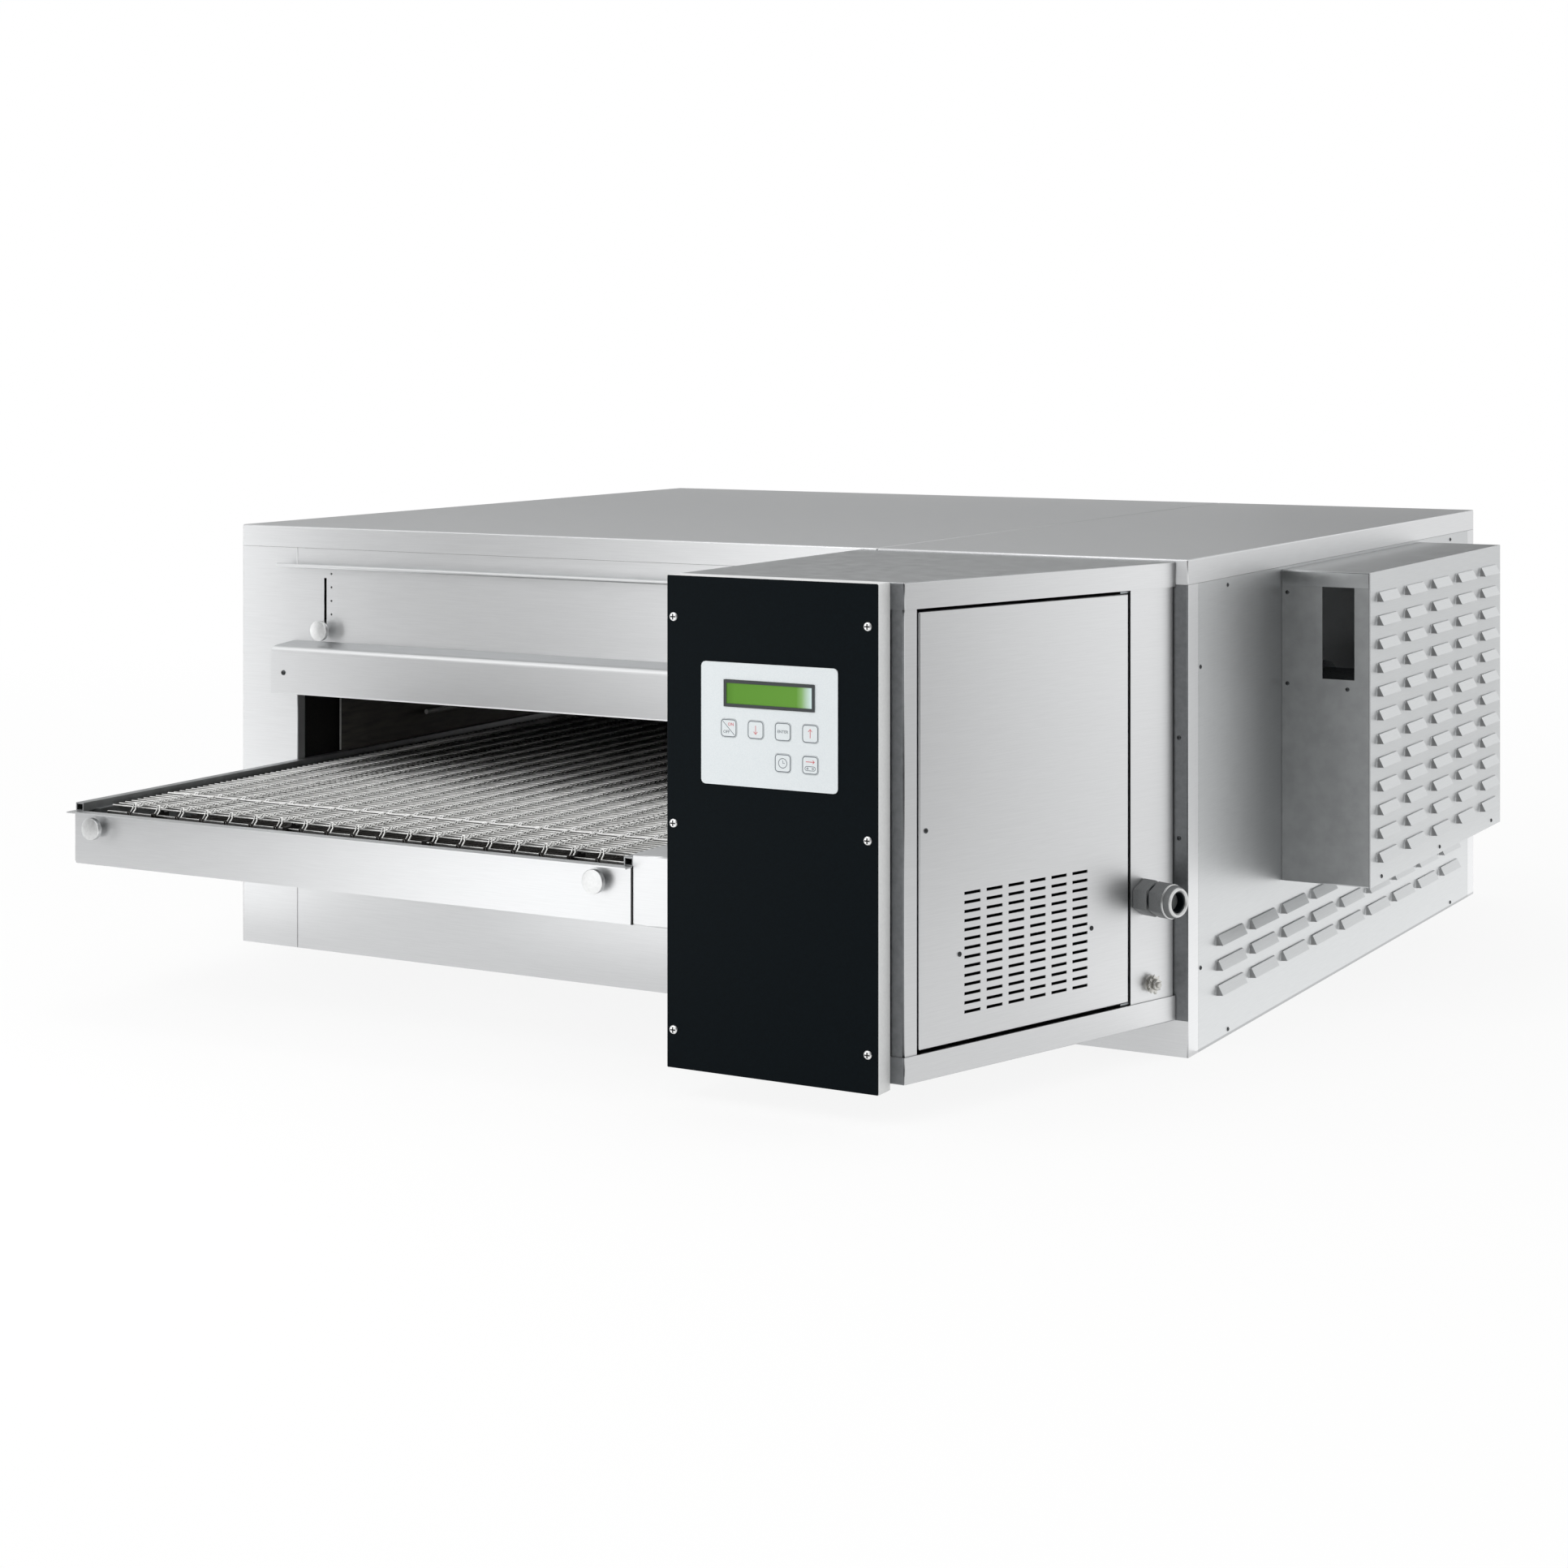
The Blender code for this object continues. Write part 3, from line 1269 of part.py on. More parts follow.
EARTH = SLANT @ at(EARTH_S, -GAP, EARTH_Z) @ Matrix.Rotation(math.pi / 2, 4, "X")
bm = bmesh.new()
prism(bm, toothed(10, 0.0095, 0.0115), 0.0015, EARTH)
earth = piece("earth_terminal", bm, "brass")
bm = bmesh.new()
prism(bm, circle(0.0075, 6), 0.005, EARTH @ at(z=0.001))
cut(earth, bm, "UNION")
bm = bmesh.new()
rod(bm, (0, 0, 0.002), (0, 0, 0.016), 0.003, 12, EARTH)
cut(earth, bm, "UNION")

# Electric gear: contactors and a terminal strip on a plate at the cabinet's back wall
PLATE_Y = -YE - GAP - CAB_INSET - SHEET - GAP
BOARD_X0 = CAB_X0 + 0.035
BOARD_X1 = XR - CAB_BACK_SET - 0.055
bm = bmesh.new()
slab(bm, (BOARD_X0, PLATE_Y - 0.002, DOOR_LOW + 0.03), (BOARD_X1, PLATE_Y, DOOR_TOP - 0.03))
board = piece("electric_gear", bm, "grey_plastic")
bm = bmesh.new()
gear_y = PLATE_Y - 0.001
pitch = (BOARD_X1 - BOARD_X0) / 5
middle = (DOOR_LOW + 2 * DOOR_TOP) / 3
step = CONTACTOR_H * 0.21
front = CONTACTOR_D * 0.69
low = middle - CONTACTOR_H / 2
high = middle + CONTACTOR_H / 2
contactor = (
    (0, low),
    (front, low),
    (front, low + step),
    (CONTACTOR_D, low + step),
    (CONTACTOR_D, high - step),
    (front, high - step),
    (front, high),
    (0, high),
)
low = DOOR_LOW + 0.075
terminals = ((0, low), (front, low), (front, low + TERMINAL_H), (0, low + TERMINAL_H))
for x in grid(BOARD_X0 + pitch / 2, pitch, 4):
    prism(bm, [(gear_y - v, z) for v, z in contactor], pitch * 0.75, ACROSS @ at(z=x))
prism(bm, [(gear_y - v, z) for v, z in terminals], pitch * 4, ACROSS @ at(z=BOARD_X0 + pitch / 2))
cut(board, bm, "UNION")
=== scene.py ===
# %% [markdown]
# # A conveyor pizza oven, dressed for its picture
# The oven's frame is finished before this lesson starts: every sheet, shaft, drawer and key is a solid that
# sits where it belongs. Here it gets what a photograph shows on top of that: rounded folds, pressed louvres,
# a woven wire belt, screws, key prints and finishes. The frame stays the master, so places are read from it.

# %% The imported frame
import json
import math

import bmesh
import bpy
from mathutils import Matrix, Vector


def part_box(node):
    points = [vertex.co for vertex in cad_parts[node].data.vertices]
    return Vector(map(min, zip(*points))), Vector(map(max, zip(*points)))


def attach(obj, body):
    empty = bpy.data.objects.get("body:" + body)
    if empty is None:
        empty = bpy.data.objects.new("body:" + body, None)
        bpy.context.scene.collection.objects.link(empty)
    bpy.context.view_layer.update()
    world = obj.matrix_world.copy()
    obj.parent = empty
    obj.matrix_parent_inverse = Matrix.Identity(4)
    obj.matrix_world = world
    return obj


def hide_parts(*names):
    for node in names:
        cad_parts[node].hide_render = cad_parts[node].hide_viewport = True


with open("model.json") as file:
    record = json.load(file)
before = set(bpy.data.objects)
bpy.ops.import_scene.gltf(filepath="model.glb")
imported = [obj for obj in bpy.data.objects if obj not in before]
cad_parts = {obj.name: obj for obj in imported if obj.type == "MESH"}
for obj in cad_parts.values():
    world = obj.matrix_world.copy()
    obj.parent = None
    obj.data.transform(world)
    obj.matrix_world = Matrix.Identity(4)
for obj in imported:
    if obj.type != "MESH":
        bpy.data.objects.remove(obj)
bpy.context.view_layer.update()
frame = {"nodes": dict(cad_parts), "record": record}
scene = bpy.context.scene
slot_of = {row["node"]: row["material_slot"] for row in frame["record"]["subparts"]}
body_of = {}
for body, members in frame["record"]["behaviour"]["bodies"].items():
    for member in members:
        body_of[member] = body
casing_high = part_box("right_top_cover")[1]
FRONT_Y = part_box("front_left_post")[0].y
print("nodes:", len(frame["nodes"]), "front face at y =", round(FRONT_Y, 4))

# %% [markdown]
# ## Camera
# The picture was taken level, with the lens shifted down, so upright edges stay upright. A tilted camera would
# make them lean together. The place and focal length come from the casing's corners in the picture.

# %% Camera
LENS_MM = 67.97
SENSOR_MM = 36
LENS_SHIFT = -0.2811
CAMERA_AT = (1.9085, -3.7319, 0.8105)
CAMERA_TURN = math.radians(29.01)
lens = bpy.data.cameras.new("camera")
lens.sensor_width = SENSOR_MM
lens.lens = LENS_MM
lens.shift_y = LENS_SHIFT
camera = bpy.data.objects.new("camera", lens)
camera.location = CAMERA_AT
camera.rotation_euler = (math.pi / 2, 0, CAMERA_TURN)
scene.collection.objects.link(camera)
scene.camera = camera
scene.view_settings.view_transform = "Standard"
print("camera at", CAMERA_AT, "lens", LENS_MM, "mm")

# %% [markdown]
# ## Nodes and colours
# Every material below is made of nodes. One function adds a node, sets its sockets and links the sockets that
# are given another node's output. Colours are written as the hex values that a paint program shows, and one
# function turns them to the linear values that a renderer adds up.


# %% Two helpers for materials
def add_node(tree, kind, sockets=None, **settings):
    """Adds one node with its settings, and fills its sockets with values or links."""
    node = tree.nodes.new("ShaderNode" + kind)
    for key, value in settings.items():
        setattr(node, key, value)
    for key, value in (sockets or {}).items():
        if isinstance(value, bpy.types.NodeSocket):
            tree.links.new(value, node.inputs[key])
        else:
            node.inputs[key].default_value = value
    return node


def linear(hex_colour):
    """An sRGB hex colour as linear red, green, blue and alpha."""
    parts = [int(hex_colour[i : i + 2], 16) / 255 for i in (1, 3, 5)]
    return [p / 12.92 if p <= 0.04045 else ((p + 0.055) / 1.055) ** 2.4 for p in parts] + [1.0]


print("mid grey in linear light:", round(linear("#808080")[0], 3))

# %% [markdown]
# ## Studio
# A white sweep suits bare metal, which shows its surroundings more than its own colour. Two lamps, overhead and
# in front, light the belt up to the shadow of the visor. The others are weak panels placed where the front, the
# drawer and the right side mirror them, so each of these brightens towards one end. Near the oven the floor is
# paper that keeps its shadow, and it fades to plain white with distance.

# %% Sky, floor and lamps
SKY_LIGHT = 0.9
FLOOR_WHITE = 0.86
WHITE_FROM, WHITE_TO = 1.2, 4.0


def seen_directly(tree):
    """1 for rays that look straight at a backdrop or see it in metal or glass, 0 for scattered light."""
    path = add_node(tree, "LightPath")
    shiny = add_node(
        tree,
        "Math",
        {0: path.outputs["Is Glossy Ray"], 1: path.outputs["Is Transmission Ray"]},
        operation="MAXIMUM",
    )
    both = {0: shiny.outputs[0], 1: path.outputs["Is Camera Ray"]}
    return add_node(tree, "Math", both, operation="MAXIMUM").outputs[0]


world = bpy.data.worlds.new("white_sweep")
world.use_nodes = True
scene.world = world
tree = world.node_tree
level = {0: seen_directly(tree), 1: 1 - SKY_LIGHT, 2: SKY_LIGHT}
strength = add_node(tree, "Math", level, operation="MULTIPLY_ADD")
sky = tree.nodes["Background"]
sky.inputs["Color"].default_value = linear("#ffffff")
tree.links.new(strength.outputs[0], sky.inputs["Strength"])

sweep = bpy.data.materials.new("white_floor_paper")
sweep.use_nodes = True
tree = sweep.node_tree
paper = add_node(tree, "BsdfDiffuse", {"Color": linear("#f4f4f3")})
glow = add_node(tree, "Emission", {"Color": linear("#ffffff"), "Strength": 1.0})
where = add_node(tree, "TexCoord").outputs["Object"]
away = add_node(tree, "VectorMath", {0: where}, operation="LENGTH").outputs["Value"]
fade = {"Value": away, "From Min": WHITE_FROM, "From Max": WHITE_TO, "To Min": FLOOR_WHITE, "To Max": 1.0}
white = add_node(tree, "MapRange", fade).outputs["Result"]
share = add_node(tree, "Math", {0: seen_directly(tree), 1: white}, operation="MULTIPLY")
mixed = add_node(tree, "MixShader", {0: share.outputs[0], 1: paper.outputs[0], 2: glow.outputs[0]})
tree.links.new(mixed.outputs[0], tree.nodes["Material Output"].inputs["Surface"])
bm = bmesh.new()
bmesh.ops.create_grid(bm, x_segments=1, y_segments=1, size=30)
mesh = bpy.data.meshes.new("floor")
bm.to_mesh(mesh)
bm.free()
mesh.materials.append(sweep)
floor = bpy.data.objects.new("floor", mesh)
scene.collection.objects.link(floor)


def soft_box(name, place, aim, size, watts):
    """A rectangular lamp of a size that looks at a point."""
    lamp = bpy.data.lights.new(name, "AREA")
    lamp.shape = "RECTANGLE"
    lamp.size, lamp.size_y = size
    lamp.energy = watts
    obj = bpy.data.objects.new(name, lamp)
    obj.location = place
    obj.rotation_euler = (Vector(aim) - Vector(place)).to_track_quat("-Z", "Y").to_euler()
    obj.visible_camera = False
    scene.collection.objects.link(obj)


soft_box("overhead_box", (-0.2, -0.66, 3.4), (-0.2, -0.66, 0.3), (0.7, 0.7), 8)
soft_box("front_box", (-0.3, -2.9, 2.3), (-0.2, -0.5, 0.25), (1.0, 0.7), 11)
soft_box("drawer_box", (-0.40, -1.85, 0.01), (-0.40, -1.85, 1), (0.85, 0.6), 1.5)
soft_box("left_box", (-2.05, -2.0, 0.45), (-0.7, -0.6, 0.35), (0.8, 0.9), 5.5)
soft_box("middle_box", (-0.55, -2.1, 0.45), (0.1, -0.6, 0.35), (0.6, 0.8), 1.6)
soft_box("low_left_box", (-1.3, -1.2, 0.01), (-1.3, -1.2, 1), (1.2, 1.0), 2.3)
soft_box("low_middle_box", (-0.15, -1.05, 0.01), (-0.15, -1.05, 1), (0.45, 0.6), 0.6)
soft_box("right_box", (2.6, 0.7, 0.4), (0.65, -0.7, 0.3), (1.0, 0.9), 1.6)
soft_box("low_right_box", (0.92, 0.475, 0.003), (0.92, 0.475, 1), (0.5, 2.05), 1.4)
soft_box("far_right_box", (2.2, 4.4, 1.2), (0.8, 0.0, 0.3), (1.6, 1.4), 2.6)
soft_box("roll_box", (-1.9, -2.2, 1.9), (-0.3, -0.6, 0.4), (1.4, 0.6), 2.2)
soft_box("top_strip", (-0.45, 0.98, 0.62), (-0.45, -3.0, 0.62), (2.3, 0.09), 0.2)


def grey_card(name, place, aim, size, shade):
    """A card that only metal and glass see: it gives a bright sheet something darker to mirror."""
    bm = bmesh.new()
    turn = (Vector(aim) - Vector(place)).to_track_quat("Z", "Y").to_matrix().to_4x4()
    flat = Matrix.Translation(place) @ turn @ Matrix.Diagonal((size[0], size[1], 1, 1))
    bmesh.ops.create_grid(bm, x_segments=1, y_segments=1, size=0.5, matrix=flat)
    mesh = bpy.data.meshes.new(name)
    bm.to_mesh(mesh)
    bm.free()
    card = bpy.data.materials.new(name)
    card.use_nodes = True
    paint = add_node(card.node_tree, "Emission", {"Color": linear(shade), "Strength": 1.0})
    card.node_tree.links.new(paint.outputs[0], card.node_tree.nodes["Material Output"].inputs["Surface"])
    mesh.materials.append(card)
    obj = bpy.data.objects.new(name, mesh)
    obj.visible_camera = obj.visible_diffuse = obj.visible_shadow = False
    scene.collection.objects.link(obj)


grey_card("card_behind_left", (-3.6, 4.6, 1.45), (-3.6, 0, 1.45), (5.0, 3.0), "#868686")
grey_card("card_behind", (-0.25, 4.6, 1.45), (-0.25, 0, 1.45), (1.7, 3.0), "#5e5e5e")
grey_card("card_right", (3.6, -3.0, 1.5), (0.6, -0.3, 1.0), (6.5, 3.2), "#3a3a3a")
grey_card("card_front", (-1.25, -2.0, 0.5), (-0.3, -0.575, 0.5), (1.0, 1.0), "#404040")
grey_card("card_under", (-0.8, -1.25, 0.004), (-0.8, -1.25, 1), (0.45, 0.5), "#bcbcbc")
grey_card("card_drawer", (-1.35, -1.9, 0.006), (-1.35, -1.9, 1), (0.6, 0.8), "#a0a0a0")
grey_card("card_door", (1.7, -0.62, 0.3), (0.55, -0.9, 0.3), (0.6, 0.7), "#a4a4a4")
grey_card("card_louvres", (2.7, -1.9, 0.005), (2.7, -1.9, 1), (2.2, 2.0), "#101010")

# %% [markdown]
# ## Finishes
# Most finishes are what the real thing is; some are darker or paler copies that carry painted shade, highlight
# or reflection. One function makes them all from a noise pattern stretched to the spacing that the surface has
# along X, Y and Z: equal spacings give grain, and one short spacing gives the lines of a brushed sheet. The
# pattern moves colour a little, roughness more, and tilts the surface slightly.


# %% One function for every finish
def finish(name, deep, pale, spacing_mm, metallic, rough, bump_mm=0.0, spread=0.15):
    """A material whose colour runs from deep to pale and whose roughness runs over a range, in a noise."""
    material = bpy.data.materials.new(name)
    material.use_nodes = True
    tree = material.node_tree
    shader = tree.nodes["Principled BSDF"]
    shader.inputs["Metallic"].default_value = metallic
    where = add_node(tree, "TexCoord").outputs["Object"]
    stretch = [1000 / mm for mm in spacing_mm]
    lines = add_node(tree, "Mapping", {"Vector": where, "Scale": stretch}).outputs["Vector"]
    noise = {"Vector": lines, "Scale": 1.0, "Detail": 3.0, "Roughness": 0.6}
    grain = add_node(tree, "TexNoise", noise).outputs["Fac"]
    tint = add_node(tree, "ValToRGB", {"Fac": grain})
    for stop, colour, place in zip(tint.color_ramp.elements, (deep, pale), (0.5 - spread, 0.5 + spread)):
        stop.color = linear(colour)
        stop.position = place
    tree.links.new(tint.outputs["Color"], shader.inputs["Base Color"])
    span = {"Value": grain, "From Min": 0.3, "From Max": 0.7, "To Min": rough[0], "To Max": rough[1]}
    tree.links.new(add_node(tree, "MapRange", span).outputs["Result"], shader.inputs["Roughness"])
    if bump_mm:
        relief = {"Height": grain, "Strength": 0.5, "Distance": bump_mm / 1000}
        tree.links.new(add_node(tree, "Bump", relief).outputs["Normal"], shader.inputs["Normal"])
    return material


def set_on(material, **values):
    """Sets constant sockets of a material's shader, such as its coat."""
    for key, value in values.items():
        material.node_tree.nodes["Principled BSDF"].inputs[key.replace("_", " ")].default_value = value


# Brushed stainless: polishing lines 0.3 mm apart, drawn 1.2 mm apart so that they show, level on every wall
WALLS = finish("stainless_brushed_level", "#d5d6d7", "#d9dadb", (40, 40, 1.2), 1.0, (0.385, 0.41), 0.002)
# The same sheet on the louvred sides, a shade greyer: painted shade
SIDES_PAINTED_SHADE = finish("stainless_brushed_painted_shade_grey", "#c2c4c5", "#c7c9ca", (40, 40, 1.2), 1.0, (0.385, 0.41), 0.002)
# The same sheet lying flat, darker on level faces as painted shade: its lines run across the belt
TOPS_PAINTED_SHADE = finish("stainless_brushed_flat_painted_shade", "#bcbebf", "#c4c5c6", (40, 1.2, 40), 1.0, (0.37, 0.42), 0.003)
# Painted reflection on the sides of the control panel's pan: pale and even, whatever stands beside it
PALE_PAINTED_REFLECTION = finish("pale_satin_painted_reflection", "#dcdddd", "#e2e3e3", (3, 3, 3), 0.15, (0.5, 0.6), 0.01)
# Painted shade on the motor cover, the cabinet's cap, the rails and the cover's lap: greyer than the brushed
# walls
DULL_PAINTED_SHADE = finish("stainless_dull_painted_shade", "#9a9c9d", "#a3a5a6", (20, 20, 20), 1.0, (0.38, 0.46), 0.003)
# Painted shade in the narrow recess by the cabinet: a dark, even grey on the faces there that look to the front
DARK_PAINTED_SHADE = finish("dark_grey_painted_shade", "#727476", "#7e8082", (8, 8, 8), 1.0, (0.4, 0.5), 0.004)
# Painted shade inside the tunnel: the stainless darkened, with little shine
TUNNEL_PAINTED_SHADE = finish("stainless_tunnel_painted_shade", "#55534f", "#75716b", (60, 60, 8), 0.5, (0.5, 0.75), 0.05)
# Bright drawn wire of the belt: smooth, with a slightly warm oil film
WIRE = finish("steel_wire_drawn", "#cfcfcd", "#e6e6e4", (9, 9, 9), 1.0, (0.34, 0.5))
# Painted highlight: one strand near white and satin, where a bright line crosses the belt
HIGHLIGHT_WIRE = finish("steel_wire_painted_highlight", "#f4f4f3", "#fbfbfa", (9, 9, 9), 0.3, (0.45, 0.55))
# Painted shade on the strands round the lower noses and along the lower run: brown-black and dull
SHADED_WIRE = finish("steel_wire_painted_shade", "#2b2927", "#3a3734", (9, 9, 9), 0.7, (0.5, 0.65))
# Galvanised sheet: zinc crystals some 10 mm wide
ZINC = finish("galvanised_sheet", "#8d9194", "#b6babd", (10, 10, 10), 1.0, (0.35, 0.55), 0.0, 0.25)
# Mineral wool faced with black glass fleece, as ovens have it: matt, fibrous, charcoal
WOOL = finish("mineral_wool_black_fleece", "#121211", "#232220", (3, 3, 3), 0.0, (0.9, 1.0), 0.8)
# Cast aluminium: sandy skin from the mould
CAST = finish("cast_aluminium", "#8e9194", "#adb0b2", (1.5, 1.5, 1.5), 1.0, (0.45, 0.62), 0.15)
# Aluminised steel of the tunnel's liner edge and probe: matt, pale grey
LINER = finish("aluminised_steel", "#b9b9b6", "#c6c6c3", (5, 5, 5), 0.2, (0.6, 0.7))
# Black powder-coated control panel: deep blue-black with a fine orange-peel and a soft gloss
BLACK = finish("black_powder_coat", "#080d10", "#0b1216", (1.2, 1.2, 1.2), 0.0, (0.36, 0.46), 0.02)
set_on(BLACK, Specular_IOR_Level=0.04)
# Silver-white polyester film of the keypad: printed on its back, so evenly pale and satin
FILM = finish("keypad_film", "#ced4d7", "#d7dcde", (0.8, 0.8, 0.8), 0.0, (0.35, 0.45), 0.01)
# Grey and red screen inks of the key prints
INK_GREY = finish("ink_grey", "#4d555b", "#59626a", (0.5, 0.5, 0.5), 0.0, (0.5, 0.6))
INK_RED = finish("ink_red", "#c0343a", "#cc474c", (0.5, 0.5, 0.5), 0.0, (0.5, 0.6))
# Dark moulded plastic: display bezel, contactors
DARK = finish("dark_plastic", "#22272a", "#2d3235", (1.0, 1.0, 1.0), 0.0, (0.4, 0.55), 0.02)
# Grey moulded polyamide of the cable gland: semi-matt, with the fine sparkle of its glass filling
POLYAMIDE = finish("grey_polyamide", "#626465", "#6c6e6f", (1.5, 1.5, 1.5), 0.0, (0.38, 0.5), 0.02)
# Painted shade on the shafts in the belt's noses and on its carrier: near black, with little shine
SHAFT_PAINTED_SHADE = finish("steel_black_painted_shade", "#161514", "#262423", (6, 6, 6), 0.6, (0.45, 0.6), 0.03)
# Black rubber seal
RUBBER = finish("black_rubber", "#0b0b0b", "#151515", (1.0, 1.0, 1.0), 0.0, (0.6, 0.75), 0.02)
# Nickelled brass of the earth terminal
BRASS = finish("nickelled_brass", "#adaca8", "#c9c8c4", (4, 4, 4), 1.0, (0.28, 0.4))
# Turned stainless of knobs and screws: bright and even
TURNED = finish("stainless_turned", "#d0d1d1", "#d9dada", (4, 4, 4), 1.0, (0.36, 0.42))
print("finishes:", len(bpy.data.materials))

# %% [markdown]
# The display is a green liquid-crystal window. A gradient along X paints its light: a little darker at the
# left-hand edge as painted shade, and paler at the right-hand end as a painted reflection. A separate glass
# sheet would only add a second reflection.

# %% Display finish
DISPLAY_PAINTED_LIGHT = bpy.data.materials.new("display_green_painted_light")
DISPLAY_PAINTED_LIGHT.use_nodes = True
tree = DISPLAY_PAINTED_LIGHT.node_tree
window_low, window_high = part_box("display_window")
where = add_node(tree, "TexCoord").outputs["Object"]
across = add_node(tree, "SeparateXYZ", {"Vector": where}).outputs["X"]
span = {"Value": across, "From Min": window_low.x, "From Max": window_high.x}
# Painted shade at the left-hand edge, painted reflection at the right-hand end
ramp = add_node(tree, "ValToRGB", {"Fac": add_node(tree, "MapRange", span).outputs["Result"]})
ramp.color_ramp.elements[0].color = linear("#4a7a20")
ramp.color_ramp.elements[1].color = linear("#cfdfe2")
ramp.color_ramp.elements[1].position = 0.97
for place, colour in ((0.12, "#578a2c"), (0.80, "#5d8f33"), (0.86, "#7fa765")):
    ramp.color_ramp.elements.new(place).color = linear(colour)
tree.links.new(ramp.outputs["Color"], tree.nodes["Principled BSDF"].inputs["Base Color"])
set_on(DISPLAY_PAINTED_LIGHT, Roughness=0.3, Specular_IOR_Level=0.15)
print("display", [round(v, 4) for v in window_high - window_low])

# %% [markdown]
# ## Turning a mesh into a piece
# A finished piece sits at the origin with its place in its mesh and rides on one body of the frame. One
# function does this for all pieces, and shades curves smooth and corners sharp.


# %% The piece maker
def make_piece(name, bm, finishes, body, stands_for=(), smooth=35):
    """Makes a mesh an object of the oven, riding on a body, in place of some nodes."""
    mesh = bpy.data.meshes.new(name)
    bm.to_mesh(mesh)
    bm.free()
    for material in finishes:
        mesh.materials.append(material)
    if smooth:
        mesh.shade_smooth()
        mesh.set_sharp_from_angle(angle=math.radians(smooth))
    obj = bpy.data.objects.new(name, mesh)
    scene.collection.objects.link(obj)
    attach(obj, body)
    if stands_for:
        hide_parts(*stands_for)
    return obj


def put(bm, template, place, material=None):
    """Adds a copy of a template mesh to a mesh at a place."""
    before = len(bm.verts)
    faces_before = len(bm.faces)
    bm.from_mesh(template)
    bm.verts.ensure_lookup_table()
    bmesh.ops.transform(bm, matrix=place, verts=bm.verts[before:])
    if material is not None:
        bm.faces.ensure_lookup_table()
        for face in bm.faces[faces_before:]:
            face.material_index = material


def template_of(name, bm):
    """Keeps a mesh as a template for copies."""
    bmesh.ops.recalc_face_normals(bm, faces=bm.faces)
    mesh = bpy.data.meshes.new(name)
    bm.to_mesh(mesh)
    bm.free()
    return mesh


def new_verts(extruded):
    """The vertices that an extrusion has made."""
    return [item for item in extruded["geom"] if isinstance(item, bmesh.types.BMVert)]


def cut_along(bm, point, normal):
    """Cuts the faces of a mesh along a plane and keeps both sides."""
    geom = bm.verts[:] + bm.edges[:] + bm.faces[:]
    bmesh.ops.bisect_plane(bm, geom=geom, plane_co=point, plane_no=normal)


print("piece maker ready")

# %% [markdown]
# ## Folded sheet
# Sheet metal is bent round a radius of a millimetre or two, so every fold catches a thin line of light. The
# frame's panels have sharp folds. A copy of each panel has its triangles joined back into flat faces, and the
# edges where two broad faces meet are bevelled; the thin cut edges stay sharp. Modelling each panel again
# would give the same shape with more chances to miss its place. Level faces take a darker copy of the sheet,
# and the motor cover a greyer one, as painted shade; on the cabinet and the end panel behind it, the faces
# that look to the front take a dark grey as painted shade of the narrow recess there.

# %% Panels with rounded folds
FOLD_R = 0.0016
BROAD = 0.0045
FACING = 0.7


def flat_faces(node):
    """A mesh of a node with its triangles joined into flat faces. Narrow rims stay triangles."""
    bm = bmesh.new()
    bm.from_mesh(frame["nodes"][node].data)
    bmesh.ops.remove_doubles(bm, verts=bm.verts, dist=0.00002)
    bmesh.ops.dissolve_limit(
        bm, angle_limit=math.radians(1), use_dissolve_boundaries=False, verts=bm.verts, edges=bm.edges
    )
    thin = [f for f in bm.faces if 2 * f.calc_area() / sum(e.calc_length() for e in f.edges) < BROAD]
    bmesh.ops.triangulate(bm, faces=thin)
    return bm


def round_folds(bm, radius):
    """Bevels the outer edges between broad faces. Only the new round faces are shaded smooth."""
    folds = []
    for edge in bm.edges:
        if not edge.is_manifold or not edge.is_convex or edge.calc_face_angle() < math.radians(40):
            continue
        length = edge.calc_length()
        if length > 4 * radius and all(f.calc_area() / length > BROAD for f in edge.link_faces):
            folds.append(edge)
    for face in bm.faces:
        face.smooth = False
    if folds:
        rounds = bmesh.ops.bevel(
            bm,
            geom=folds,
            offset=radius,
            offset_type="OFFSET",
            affect="EDGES",
            segments=3,
            profile=0.5,
            material=-1,
            clamp_overlap=True,
        )
        for face in rounds["faces"]:
            face.smooth = True
    return len(folds)


SHEETS = (
    "left_side_panel left_top_cover right_top_cover front_left_post rear_left_post front_right_panel "
    "rear_right_panel front_upper_panel rear_upper_panel front_lower_panel rear_lower_panel motor_cover "
    "front_drawer rear_drawer drive_cover cabinet_walls cabinet_cap cabinet_base cabinet_door"
).split()
